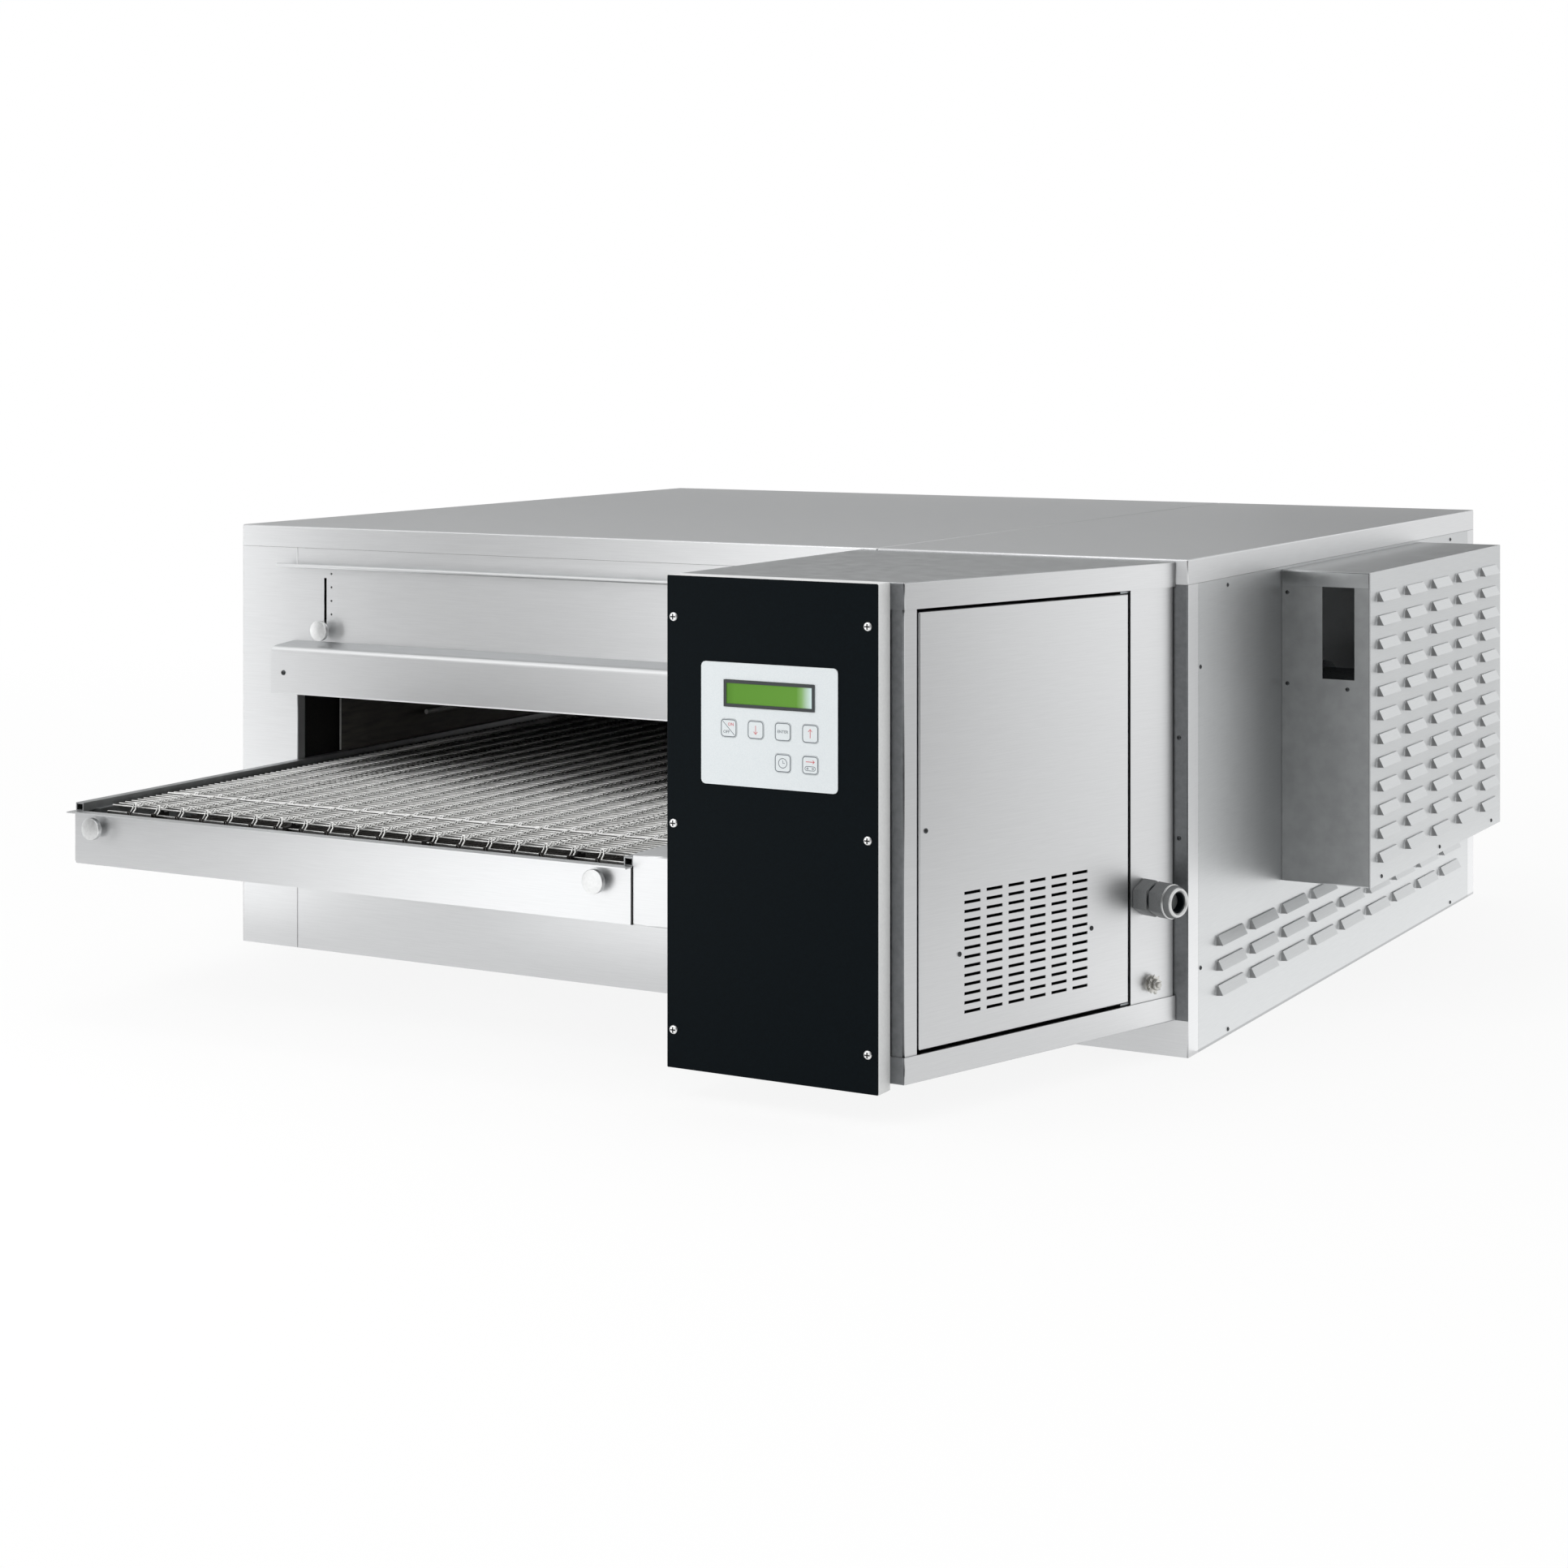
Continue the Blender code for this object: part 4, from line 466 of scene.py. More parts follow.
# Finishes of a sheet's sides, of its level faces and of the faces that look to the front; the darker ones are
# painted shade
SHEET_FINISH = {
    "front_right_panel": (WALLS, TOPS_PAINTED_SHADE, DARK_PAINTED_SHADE),
    "motor_cover": (DULL_PAINTED_SHADE, DULL_PAINTED_SHADE, DULL_PAINTED_SHADE),
    "cabinet_cap": (WALLS, DULL_PAINTED_SHADE, DARK_PAINTED_SHADE),
    "cabinet_walls": (WALLS, TOPS_PAINTED_SHADE, DARK_PAINTED_SHADE),
    "cabinet_base": (WALLS, TOPS_PAINTED_SHADE, DARK_PAINTED_SHADE),
}
cabinet_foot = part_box("cabinet_base")[0].z
for node in SHEETS:
    bm = flat_faces(node)
    count = round_folds(bm, FOLD_R)
    if node == "front_right_panel":
        cut_along(bm, (0, 0, cabinet_foot), (0, 0, 1))
    for face in bm.faces:
        # Level faces and, by the cabinet, faces to the front take their painted shade here
        level = abs(face.normal.z) > FACING
        to_front = face.normal.y < -FACING and face.calc_center_median().z > cabinet_foot
        face.material_index = 1 if level else 2 if to_front else 0
    finishes = SHEET_FINISH.get(node, (WALLS, TOPS_PAINTED_SHADE, WALLS))
    make_piece(node + "_folded", bm, finishes, body_of[node], [node], smooth=0)
    print(node, "folds rounded:", count)

# %% [markdown]
# The control panel is a pan with a black front and sides in a pale, even colour that paints their reflection,
# so one copy takes two finishes by the way its faces look.

# %% Control panel
PAN_FOLD_R = 0.001
bm = flat_faces("control_panel")
round_folds(bm, PAN_FOLD_R)
for face in bm.faces:
    # The sides take the pale painted reflection
    face.material_index = 0 if face.normal.y < -FACING else 1
make_piece("control_panel_pan", bm, (BLACK, PALE_PAINTED_REFLECTION), "oven", ["control_panel"], smooth=0)
panel_low, panel_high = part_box("control_panel")
print("panel", [round(v, 3) for v in panel_high - panel_low])

# %% [markdown]
# ## Visors
# A visor is a sheet with a sloping top rolled into a front plate, so that no hot air spills over it, and a
# slide plate behind the panel. The slide and the foot come from the frame's node, cut free of its flat front;
# the rolled front is a profile of one bend, swept along the mouth and given its thickness.

# %% Rolled visors
ROLL_R = 0.009
ROLL_LOW, ROLL_OUT, ROLL_TOP = 0.3433, 0.0279, 0.4126
ROLL_BACK, END_CUT = 0.0024, 0.021
ROLL_FALL = math.radians(15.6)
ROLL_STEPS = 8
ROLL_SHEET = 0.0012
ROLL_TRIM = 0.0008
FOOT_TOP = ROLL_LOW + 0.003
SLIDE_CLEAR = 0.001
TOP_FACING = 0.75


def rolled_front(side, left, right):
    """The swept front of a visor at one end of the oven: side is -1 at the front."""
    bm = bmesh.new()
    profile = [(ROLL_BACK, ROLL_TOP)]
    bend = ROLL_OUT - ROLL_R + ROLL_R * math.sin(ROLL_FALL)
    middle = ROLL_TOP - (bend - ROLL_BACK) * math.tan(ROLL_FALL) - ROLL_R * math.cos(ROLL_FALL)
    for i in range(ROLL_STEPS + 1):
        turn = ROLL_FALL + (math.pi / 2 - ROLL_FALL) * i / ROLL_STEPS
        profile.append((ROLL_OUT - ROLL_R + ROLL_R * math.sin(turn), middle + ROLL_R * math.cos(turn)))
    profile.append((ROLL_OUT, ROLL_LOW))
    verts = [bm.verts.new((left, side * (-FRONT_Y + out), up)) for out, up in profile]
    edges = [bm.edges.new(pair) for pair in zip(verts, verts[1:])]
    swept = bmesh.ops.extrude_edge_only(bm, edges=edges)
    bmesh.ops.translate(bm, verts=new_verts(swept), vec=(right - left, 0, 0))
    for vert in bm.verts:
        inward = END_CUT * (1 - (abs(vert.co.y) + FRONT_Y) / ROLL_OUT)
        vert.co.x += inward if vert.co.x < (left + right) / 2 else -inward
    bmesh.ops.recalc_face_normals(bm, faces=bm.faces)
    outside = max(bm.faces, key=lambda f: f.calc_area())
    if outside.normal.y * side < 0:
        bmesh.ops.reverse_faces(bm, faces=bm.faces)
    bmesh.ops.solidify(bm, geom=bm.faces, thickness=ROLL_SHEET)
    return template_of("rolled_front", bm)


for node, side in (("front_visor", -1), ("rear_visor", 1)):
    low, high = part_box(node)
    bm = flat_faces(node)
    for face in bm.faces:
        face.smooth = False
    clear = side * (-FRONT_Y + SLIDE_CLEAR)
    for point, normal in (((0, clear, 0), (0, 1, 0)), ((0, 0, FOOT_TOP), (0, 0, 1))):
        cut_along(bm, point, normal)
    front = []
    for face in bm.faces:
        centre = face.calc_center_median()
        if (centre.y - clear) * side > 0 and centre.z > FOOT_TOP:
            front.append(face)
    bmesh.ops.delete(bm, geom=front, context="FACES")
    bmesh.ops.holes_fill(bm, edges=[e for e in bm.edges if e.is_boundary])
    put(bm, rolled_front(side, low.x + ROLL_TRIM, high.x - ROLL_TRIM), Matrix())
    bm.normal_update()
    for face in bm.faces:
        # Faces looking up take the darker level copy of the sheet, painted shade
        face.material_index = 1 if face.normal.z > TOP_FACING else 0
    make_piece(node + "_rolled", bm, (WALLS, TOPS_PAINTED_SHADE), body_of[node], [node], smooth=25)
    print(node, "cut faces:", len(front))

# %% [markdown]
# ## Louvres
# A louvre is a slit in the sheet with its upper side pressed outwards into a hood, rounded off at both ends.
# The sheet is one face, cut by planes along the hoods' edges, with the slit faces deleted and the rest given
# its thickness. The hood is a small grid pushed out in proportion to how far it is below its crease, with a
# quarter round at each end. Copies of it go over all the slits.

# %% Louvred sheets
HOOD_OUT = 0.0080
HOOD_STEP = 0.0020
HOOD_H = 0.0118
HOOD_END = 0.005
HOOD_TAPER = 0.004
HOOD_SHEET = 0.0008
SHEET = 0.0015
SLIT_SHORT = 0.001
HOOD_SINK = 0.0002


def hood_template(length):
    """A pressed hood: X along it, Y up from its lip, Z out of the sheet."""
    bm = bmesh.new()
    bmesh.ops.create_grid(bm, x_segments=12, y_segments=4, size=0.5)
    for vert in bm.verts:
        from_end = min((0.5 - abs(vert.co.x)) * 12, 5) / 5
        row = round((vert.co.y + 0.5) * 4)
        up = (0, 0.33, 0.66, 0.95, 1)[row]
        out = 0 if row == 4 else HOOD_OUT + (HOOD_STEP - HOOD_OUT) * up
        half = length / 2 - HOOD_TAPER * up - HOOD_END * (1 - 0.8 * up) * from_end
        along = math.copysign(half, vert.co.x) if abs(vert.co.x) > 0.01 else 0
        vert.co = (along, up * HOOD_H, out * from_end**1.7)
    bmesh.ops.remove_doubles(bm, verts=bm.verts, dist=0.00001)
    bmesh.ops.recalc_face_normals(bm, faces=bm.faces)
    bmesh.ops.solidify(bm, geom=bm.faces, thickness=HOOD_SHEET)
    return template_of("hood", bm)


def louvred_sheet(name, node, columns, rows, length, sheet_finish):
    """A flat sheet in a node's place with a hood over a slit at each column and row."""
    low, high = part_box(node)
    face_x = low.x + SHEET
    out = Matrix(((0, 0, 1, face_x), (1, 0, 0, 0), (0, 1, 0, 0), (0, 0, 0, 1)))
    bm = bmesh.new()
    middle = Matrix.Translation(((low.y + high.y) / 2, (low.z + high.z) / 2, 0))
    size = Matrix.Diagonal((high.y - low.y, high.z - low.z, 1, 1))
    bmesh.ops.create_grid(bm, x_segments=1, y_segments=1, size=0.5, matrix=middle @ size)
    slit = length / 2 - HOOD_TAPER - HOOD_END
    cuts = [((y + side * slit, 0, 0), (1, 0, 0)) for y in columns for side in (-1, 1)]
    cuts += [((0, z + up, 0), (0, 1, 0)) for z in rows for up in (0, HOOD_H - SLIT_SHORT)]
    for point, normal in cuts:
        cut_along(bm, point, normal)
    gone = []
    for face in bm.faces:
        centre = face.calc_center_median()
        if any(abs(centre.x - y) < slit for y in columns):
            if any(z < centre.y < z + HOOD_H - SLIT_SHORT for z in rows):
                gone.append(face)
    bmesh.ops.delete(bm, geom=gone, context="FACES")
    swept = bmesh.ops.extrude_face_region(bm, geom=bm.faces[:])
    bmesh.ops.translate(bm, verts=new_verts(swept), vec=(0, 0, -SHEET))
    bmesh.ops.recalc_face_normals(bm, faces=bm.faces)
    hood = hood_template(length)
    for y in columns:
        for z in rows:
            put(bm, hood, Matrix.Translation((y, z, -HOOD_SINK)))
    bmesh.ops.transform(bm, matrix=out, verts=bm.verts)
    make_piece(name, bm, (sheet_finish,), "oven", [node], smooth=40)
    print(name, "hoods:", len(columns) * len(rows))


def spread(middle, pitch, count):
    """Evenly spaced places about a middle."""
    return [middle + pitch * (i - (count - 1) / 2) for i in range(count)]


cover_low, cover_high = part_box("louvre_panel")
cover_mid = (cover_low.y + cover_high.y) / 2
COVER_HOOD, SIDE_HOOD = 0.081, 0.092
cover_hoods = spread(cover_mid, 0.1115, 5), spread(0.338, 0.0288, 12)
side_hoods = spread(0, 0.1108, 9), spread(0.083, 0.029, 3)
# Both louvred sheets take the greyer copy of the sheet, painted shade
louvred_sheet("louvred_cover_face", "louvre_panel", *cover_hoods, COVER_HOOD, SIDES_PAINTED_SHADE)
louvred_sheet("louvred_side_panel", "right_side_panel", *side_hoods, SIDE_HOOD, SIDES_PAINTED_SHADE)

# %% [markdown]
# ## Wire belt
# The belt is woven from strands that each cross its whole width. A strand runs straight over a wide space,
# then bends back in a narrow loop that dips and hooks over the strand behind it, and so on: seen from above,
# the hooks make beaded rows along the belt. One strand is drawn as a path, given a thickness by a curve's
# bevel, and copied along the loop round the two shafts. One strand, lifted a little and near white, is a
# painted highlight, and the strands round the lower noses and along the lower run are dark as painted shade.

# %% Strands round the loop
STRAND_PITCH = 0.0112
STRAND_WIRE = 0.0012
SPACES = 20
LOOP_HALF = 0.0022
GLINT_Y = -0.8695
NOSE_PHASE = math.radians(14)
belt_low, belt_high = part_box("mesh_belt")
belt_left = belt_low.x + STRAND_WIRE
space = (belt_high.x - belt_low.x - 2 * STRAND_WIRE) / SPACES


def wire_mesh(points, radius, closed=False, rounding=0):
    """A wire along a path as a mesh, four-sided unless it is given more rounding."""
    curve = bpy.data.curves.new("wire", "CURVE")
    curve.dimensions = "3D"
    curve.bevel_depth = radius
    curve.bevel_resolution = rounding
    curve.use_fill_caps = not closed
    spline = curve.splines.new("POLY")
    spline.points.add(len(points) - 1)
    spline.use_cyclic_u = closed
    for point, place in zip(spline.points, points):
        point.co = (*place, 1)
    holder = bpy.data.objects.new("wire", curve)
    mesh = bpy.data.meshes.new_from_object(holder)
    bpy.data.objects.remove(holder)
    bpy.data.curves.remove(curve)
    return mesh


path = [(belt_left, 0, 0)]
for i in range(1, SPACES):
    x = belt_left + space * i
    dip, hook = -STRAND_PITCH * 0.62, -STRAND_PITCH * 1.12
    path.append((x - LOOP_HALF, 0, 0))
    path.append((x - LOOP_HALF, dip, -STRAND_WIRE * 0.8))
    path.append((x - LOOP_HALF * 0.7, hook, STRAND_WIRE * 1.2))
    path.append((x + LOOP_HALF * 0.7, hook, STRAND_WIRE * 1.2))
    path.append((x + LOOP_HALF, dip, -STRAND_WIRE * 0.8))
    path.append((x + LOOP_HALF, 0, 0))
path.append((belt_left + space * SPACES, 0, 0))
strand = wire_mesh(path, STRAND_WIRE)
nose_r = (belt_high.z - belt_low.z) / 2 - STRAND_WIRE * 2.4
axle_z = (belt_high.z + belt_low.z) / 2
axle_y = belt_high.y - (belt_high.z - belt_low.z) / 2
run = 2 * axle_y
lap = 2 * run + math.tau * nose_r
count = round(lap / STRAND_PITCH)


def on_loop(distance):
    """The place of a strand at a distance round the loop, from the rear end of the upper run."""
    if distance < run:
        return Matrix.Translation((0, axle_y - distance, axle_z + nose_r)), "upper"
    distance -= run
    if distance < math.pi * nose_r:
        turn = Matrix.Rotation(distance / nose_r, 4, "X")
        return Matrix.Translation((0, -axle_y, axle_z)) @ turn @ Matrix.Translation((0, 0, nose_r)), "upper"
    distance -= math.pi * nose_r
    if distance < run:
        under = Matrix.Rotation(math.pi, 4, "X") @ Matrix.Translation((0, 0, nose_r))
        return Matrix.Translation((0, -axle_y + distance, axle_z)) @ under, "lower"
    distance -= run
    turn = Matrix.Rotation(math.pi + distance / nose_r, 4, "X")
    return Matrix.Translation((0, axle_y, axle_z)) @ turn @ Matrix.Translation((0, 0, nose_r)), "lower"


runs = {"upper": bmesh.new(), "lower": bmesh.new()}
flip = Matrix.Rotation(math.pi, 4, "Z") @ Matrix.Translation((-(belt_low.x + belt_high.x), 0, 0))
first = (run + NOSE_PHASE * nose_r) % (lap / count)
join = round((axle_y - GLINT_Y - first) / (lap / count))
for i in range(count):
    distance = first + lap * i / count
    place, side = on_loop(distance)
    # Index 1 is the strand with the painted highlight, index 2 the painted shade inside the belt
    shade = 2 if run + nose_r < distance < lap - nose_r else 1 if i == join else 0
    lift = Matrix.Translation((0, 0, STRAND_WIRE * 0.6 if i == join else 0))
    put(runs[side], strand, place @ lift @ flip, shade)
wires = (WIRE, HIGHLIGHT_WIRE, SHADED_WIRE)
make_piece("belt_upper_run", runs["upper"], wires, "oven", ["mesh_belt"], smooth=100)
make_piece("belt_lower_run", runs["lower"], wires, "oven", smooth=100)
print("strands:", count, "spaces:", SPACES)

# %% [markdown]
# ## Knobs
# The drawers and visors are pulled by plain turned discs on a stem. A profile is drawn once for half the knob
# and spun round its axis, which gives the true round edge that the frame's few-sided solid lacks.


# %% Turned knobs
def spun(points, steps=40):
    """A solid of revolution round Z from (radius, height) points."""
    bm = bmesh.new()
    verts = [bm.verts.new((r, 0, h)) for r, h in points]
    edges = [bm.edges.new(pair) for pair in zip(verts, verts[1:])]
    bmesh.ops.spin(bm, geom=verts + edges, axis=(0, 0, 1), angle=math.tau, steps=steps, use_merge=True)
    bmesh.ops.remove_doubles(bm, verts=bm.verts, dist=0.000005)
    bmesh.ops.recalc_face_normals(bm, faces=bm.faces)
    return bm


KNOB_T = 0.006
KNOB_EDGE = 0.0008
SHUTTER_STEM, DRAWER_STEM = 0.0017, 0.004
KNOBS = [n for n in frame["nodes"] if n.endswith("_knob")]
for node in KNOBS:
    low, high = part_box(node)
    depth = high.y - low.y
    disc = (high.x - low.x) / 2
    stem = SHUTTER_STEM if "shutter" in node else DRAWER_STEM
    outer = depth - KNOB_T
    profile = [(0, 0), (stem, 0), (stem, outer), (disc - KNOB_EDGE, outer)]
    for centre, start in ((outer + KNOB_EDGE, -math.pi / 2), (depth - KNOB_EDGE, 0)):
        for i in range(5):
            angle = start + math.pi / 2 * i / 4
            wide = disc - KNOB_EDGE + KNOB_EDGE * math.cos(angle)
            profile.append((wide, centre + KNOB_EDGE * math.sin(angle)))
    profile.append((0, depth))
    bm = spun(profile)
    outward = -1 if "front" in node else 1
    seat = Matrix.Translation(((low.x + high.x) / 2, high.y if outward < 0 else low.y, (low.z + high.z) / 2))
    bmesh.ops.transform(bm, matrix=seat @ Matrix.Rotation(-outward * math.pi / 2, 4, "X"), verts=bm.verts)
    make_piece(node + "_turned", bm, (TURNED,), body_of[node], [node])
print("knobs:", len(KNOBS))

# %% [markdown]
# ## Screws
# Cross-head screws hold the black panel, the casing and the door. One head is spun, and its cross recess is
# two near-black bars sunk into it, painted shade: at this size that reads as a recess, for a few faces only.

# %% Screws
# Dark grey heads of the small screws
SCREW_STEEL = finish("screw_dark_grey", "#46484a", "#585a5c", (2, 2, 2), 1.0, (0.3, 0.42))
PALE_STEEL = finish("screw_zinc_bright", "#eeefef", "#f6f6f6", (2, 2, 2), 1.0, (0.4, 0.5))
# Painted shade in the screws' cross recesses and the punched level dots: near black
RECESS_PAINTED_SHADE = finish("screw_recess_painted_shade", "#141414", "#1d1d1d", (1, 1, 1), 0.3, (0.5, 0.6))
bm = spun([(1, -0.15), (1, 0.12), (0.93, 0.28), (0.72, 0.42), (0.4, 0.5), (0, 0.52)], 16)
head = template_of("screw_head", bm)
bm = bmesh.new()
for turn in (0, math.pi / 2):
    sunk = Matrix.Translation((0, 0, 0.40)) @ Matrix.Diagonal((1.25, 0.3, 0.27, 1))
    bmesh.ops.create_cube(bm, size=1, matrix=Matrix.Rotation(turn, 4, "Z") @ sunk)
recess = template_of("screw_recess_painted_shade", bm)


def facing(direction):
    """Turns a piece's own Z axis to a direction, with its own Y axis upwards."""
    return Vector(direction).to_track_quat("Z", "Y").to_matrix().to_4x4()


def screws(name, body, spots, direction, radius, steel=SCREW_STEEL):
    """A row of screws with heads of a radius at some points."""
    bm = bmesh.new()
    for spot in spots:
        seat = Matrix.Translation(spot) @ facing(direction) @ Matrix.Diagonal((radius, radius, radius, 1))
        put(bm, head, seat, 0)
        put(bm, recess, seat, 1)
    make_piece(name, bm, (steel, RECESS_PAINTED_SHADE), body, smooth=50)
    print(name, len(spots))


RIGHT_X = casing_high.x
FRONT = (0, -1, 0)
PANEL_HEAD, VISOR_HEAD, CASING_HEAD, DOOR_HEAD = 0.0048, 0.0034, 0.0026, 0.0028
VISOR_SCREW_IN, VISOR_SCREW_Z = 0.0215, 0.3712
panel_spots = [(x, panel_low.y, z) for x in (0.26875, 0.50275) for z in (0.076, 0.297, 0.518)]
screws("panel_screws", "oven", panel_spots, FRONT, PANEL_HEAD, PALE_STEEL)
for node, side in (("front_visor", -1), ("rear_visor", 1)):
    low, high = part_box(node)
    columns = (low.x + VISOR_SCREW_IN, high.x - VISOR_SCREW_IN)
    spots = [(x, side * (ROLL_OUT - FRONT_Y), VISOR_SCREW_Z) for x in columns]
    screws(node + "_screws", node, spots, (0, side, 0), VISOR_HEAD)
side_spots = [(-0.4488, 0.5277), (-0.5368, 0.4401), (0.4556, 0.5283)]
side_spots += [(-0.5365, 0.0954), (-0.448, 0.0074), (0.4548, 0.0068)]
screws("side_screws", "oven", [(RIGHT_X, y, z) for y, z in side_spots], (1, 0, 0), CASING_HEAD)
screws("front_screws", "oven", [(0.67075, FRONT_Y, z) for z in (0.2484, 0.3627)], FRONT, CASING_HEAD)
cover_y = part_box("motor_cover")[0].y
cover_spots = [(0.68925, cover_y, 0.5055), (0.76525, cover_y, 0.3906), (0.68925, cover_y, 0.394)]
screws("cover_end_screws", "oven", cover_spots, FRONT, CASING_HEAD)
face_x = cover_low.x + SHEET
cover_spots = [(face_x, y, 0.160) for y in (-0.2182, 0.0248, 0.2658)]
screws("cover_face_screws", "oven", cover_spots, (1, 0, 0), CASING_HEAD)

# %% [markdown]
# The cabinet's long side is slanted, so its fittings are placed in a frame of their own: how far along the
# side from its front corner, how far out of it, and how high.

# %% The slanted side's frame
SLANT_FROM = Vector((0.53075, -0.9912, 0))
SLANT_RUN = Vector((0.31259, 0.94989, 0))
SLANT_OUT = Vector((0.94989, -0.31259, 0))
SLANT_INSET = 0.0018


def on_slant(along, out, up):
    """A point on the cabinet's slanted side."""
    return SLANT_FROM + SLANT_RUN * along + SLANT_OUT * (out - SLANT_INSET) + Vector((0, 0, up))


door_spots = [on_slant(s, 0, z) for s, z in ((0.0342, 0.3016), (0.0848, 0.1658), (0.2946, 0.1651))]
screws("door_screws", "cabinet_door", door_spots, SLANT_OUT, DOOR_HEAD)

# %% [markdown]
# ## Cable gland and earth terminal
# The supply cable enters through a gland: a fixed hexagon, a hexagon that turns, and a domed nut that presses a
# rubber ring onto the cable. Each hexagon is a six-sided prism with bevelled edges and the nut is spun. The
# earth terminal below it is a stud with two nuts and a toothed washer, whose teeth are every second point of a
# circle, drawn in.


# %% Cable gland
GLAND_ALONG, GLAND_UP = 0.382, 0.189
GLAND_SHORT = 0.9


def hexagon(bm, radius, low, high, bevel, material=0):
    """Adds a hexagon nut along Z with bevelled edges."""
    prism = bmesh.new()
    seat = Matrix.Translation((0, 0, (low + high) / 2))
    bmesh.ops.create_cone(
        prism, cap_ends=True, segments=6, radius1=radius, radius2=radius, depth=high - low, matrix=seat
    )
    bmesh.ops.bevel(
        prism, geom=prism.edges[:], offset=bevel, affect="EDGES", segments=2, profile=0.5, material=-1
    )
    put(bm, template_of("hexagon", prism), Matrix(), material)


def turned(bm, points, steps, material=0):
    """Adds a turned piece along Z to a mesh."""
    put(bm, template_of("turned", spun(points, steps)), Matrix(), material)


bm = bmesh.new()
hexagon(bm, 0.0210, 0.0, 0.0215, 0.0015)
hexagon(bm, 0.0205, 0.0245, 0.046, 0.0015)
turned(bm, [(0, 0.02), (0.0165, 0.02), (0.0165, 0.026), (0, 0.026)], 24, 2)
nut = [(0.0185, 0.044), (0.0185, 0.050), (0.0179, 0.053), (0.0166, 0.0565), (0.0118, 0.0565), (0.0118, 0.0545)]
turned(bm, nut, 32)
# The collar and the rim are bright turned metal on the grey nut: painted highlights along its edges
collar = [(0.0184, 0.0455), (0.0193, 0.0462), (0.0193, 0.0478), (0.0184, 0.0486)]
rim = [(0.0168, 0.0560), (0.0157, 0.0582), (0.0136, 0.0582), (0.0119, 0.0555)]
for bright in (collar, rim):
    turned(bm, bright, 32, 1)
ring = [(0.0119, 0.0548), (0.0108, 0.0556), (0.0098, 0.0545), (0.0096, 0.035), (0, 0.035)]
turned(bm, ring, 24, 2)
gland_at = on_slant(GLAND_ALONG, 0, GLAND_UP)
gland_seat = Matrix.Translation(gland_at) @ facing(SLANT_OUT) @ Matrix.Diagonal((1, 1, GLAND_SHORT, 1))
bmesh.ops.transform(bm, matrix=gland_seat, verts=bm.verts)
make_piece("cable_gland_nuts", bm, (POLYAMIDE, TURNED, BLACK), "oven", ["cable_gland"])
print("gland at", [round(v, 3) for v in gland_at])

# %% Earth terminal
EARTH_ALONG, EARTH_UP = 0.3945, 0.0895
TOOTH_IN, TOOTH_TWIST = 0.66, 0.15
bm = bmesh.new()
washer = [(0, 0), (0.0095, 0), (0.0095, 0.0012), (0.009, 0.0015), (0, 0.0015)]
turned(bm, washer, 24)
hexagon(bm, 0.0075, 0.0015, 0.0055, 0.0006)
teeth = bmesh.new()
bmesh.ops.create_circle(teeth, cap_ends=True, segments=16, radius=0.0115)
teeth.verts.ensure_lookup_table()
for i, vert in enumerate(teeth.verts):
    if i % 2:
        vert.co = vert.co * TOOTH_IN
swept = bmesh.ops.extrude_face_region(teeth, geom=teeth.faces[:])
moved = new_verts(swept)
bmesh.ops.rotate(teeth, verts=moved, cent=(0, 0, 0), matrix=Matrix.Rotation(TOOTH_TWIST, 3, "Z"))
bmesh.ops.translate(teeth, verts=moved, vec=(0, 0, 0.0018))
put(bm, template_of("teeth", teeth), Matrix.Translation((0, 0, 0.0056)))
hexagon(bm, 0.0066, 0.0075, 0.011, 0.0006)
stud = [(0, 0.01), (0.0034, 0.01), (0.0034, 0.0132), (0.0028, 0.0142), (0, 0.0145)]
turned(bm, stud, 16)
earth_at = on_slant(EARTH_ALONG, 0, EARTH_UP)
bmesh.ops.transform(bm, matrix=Matrix.Translation(earth_at) @ facing(SLANT_OUT), verts=bm.verts)
make_piece("earth_terminal_nuts", bm, (BRASS,), "oven", ["earth_terminal"], smooth=30)
print("earth terminal at", [round(v, 3) for v in earth_at])

# %% [markdown]
# ## Small pieces of the casing
# The lip over each mouth has its edge hemmed, which is drawn as a rod along it. Four punched dots beside each
# slot mark the visor's levels, as near-black discs that paint the shade in them. A black strip seals the
# drawer against the drive cover, a lap of greyer sheet closes the top of the motor cover's end as painted
# shade, and in the tunnel a liner edge and a temperature probe catch some light.

# %% Hems, level marks and seals
LEVELS = (0.4494, 0.4674, 0.4854, 0.5034)
MARK_R = 0.0021
MARK_X, MARK_T = -0.53005, 0.0004
HEM_R, HEM_Z = 0.0026, 0.5133
SEAL_LOW, SEAL_HIGH = (0.2076, 1.0048, 0.1802), (0.2098, 1.0075, 0.2438)
SEAL_EDGE = 0.0004


def bar(bm, low, high, bevel):
    """Adds a bar between two corners with bevelled edges."""
    block = bmesh.new()
    low, high = Vector(low), Vector(high)
    seat = Matrix.Translation((low + high) / 2) @ Matrix.Diagonal((*(high - low), 1))
    bmesh.ops.create_cube(block, size=1, matrix=seat)
    bmesh.ops.bevel(
        block, geom=block.edges[:], offset=bevel, affect="EDGES", segments=2, profile=0.5, material=-1
    )
    put(bm, template_of("bar", block), Matrix())


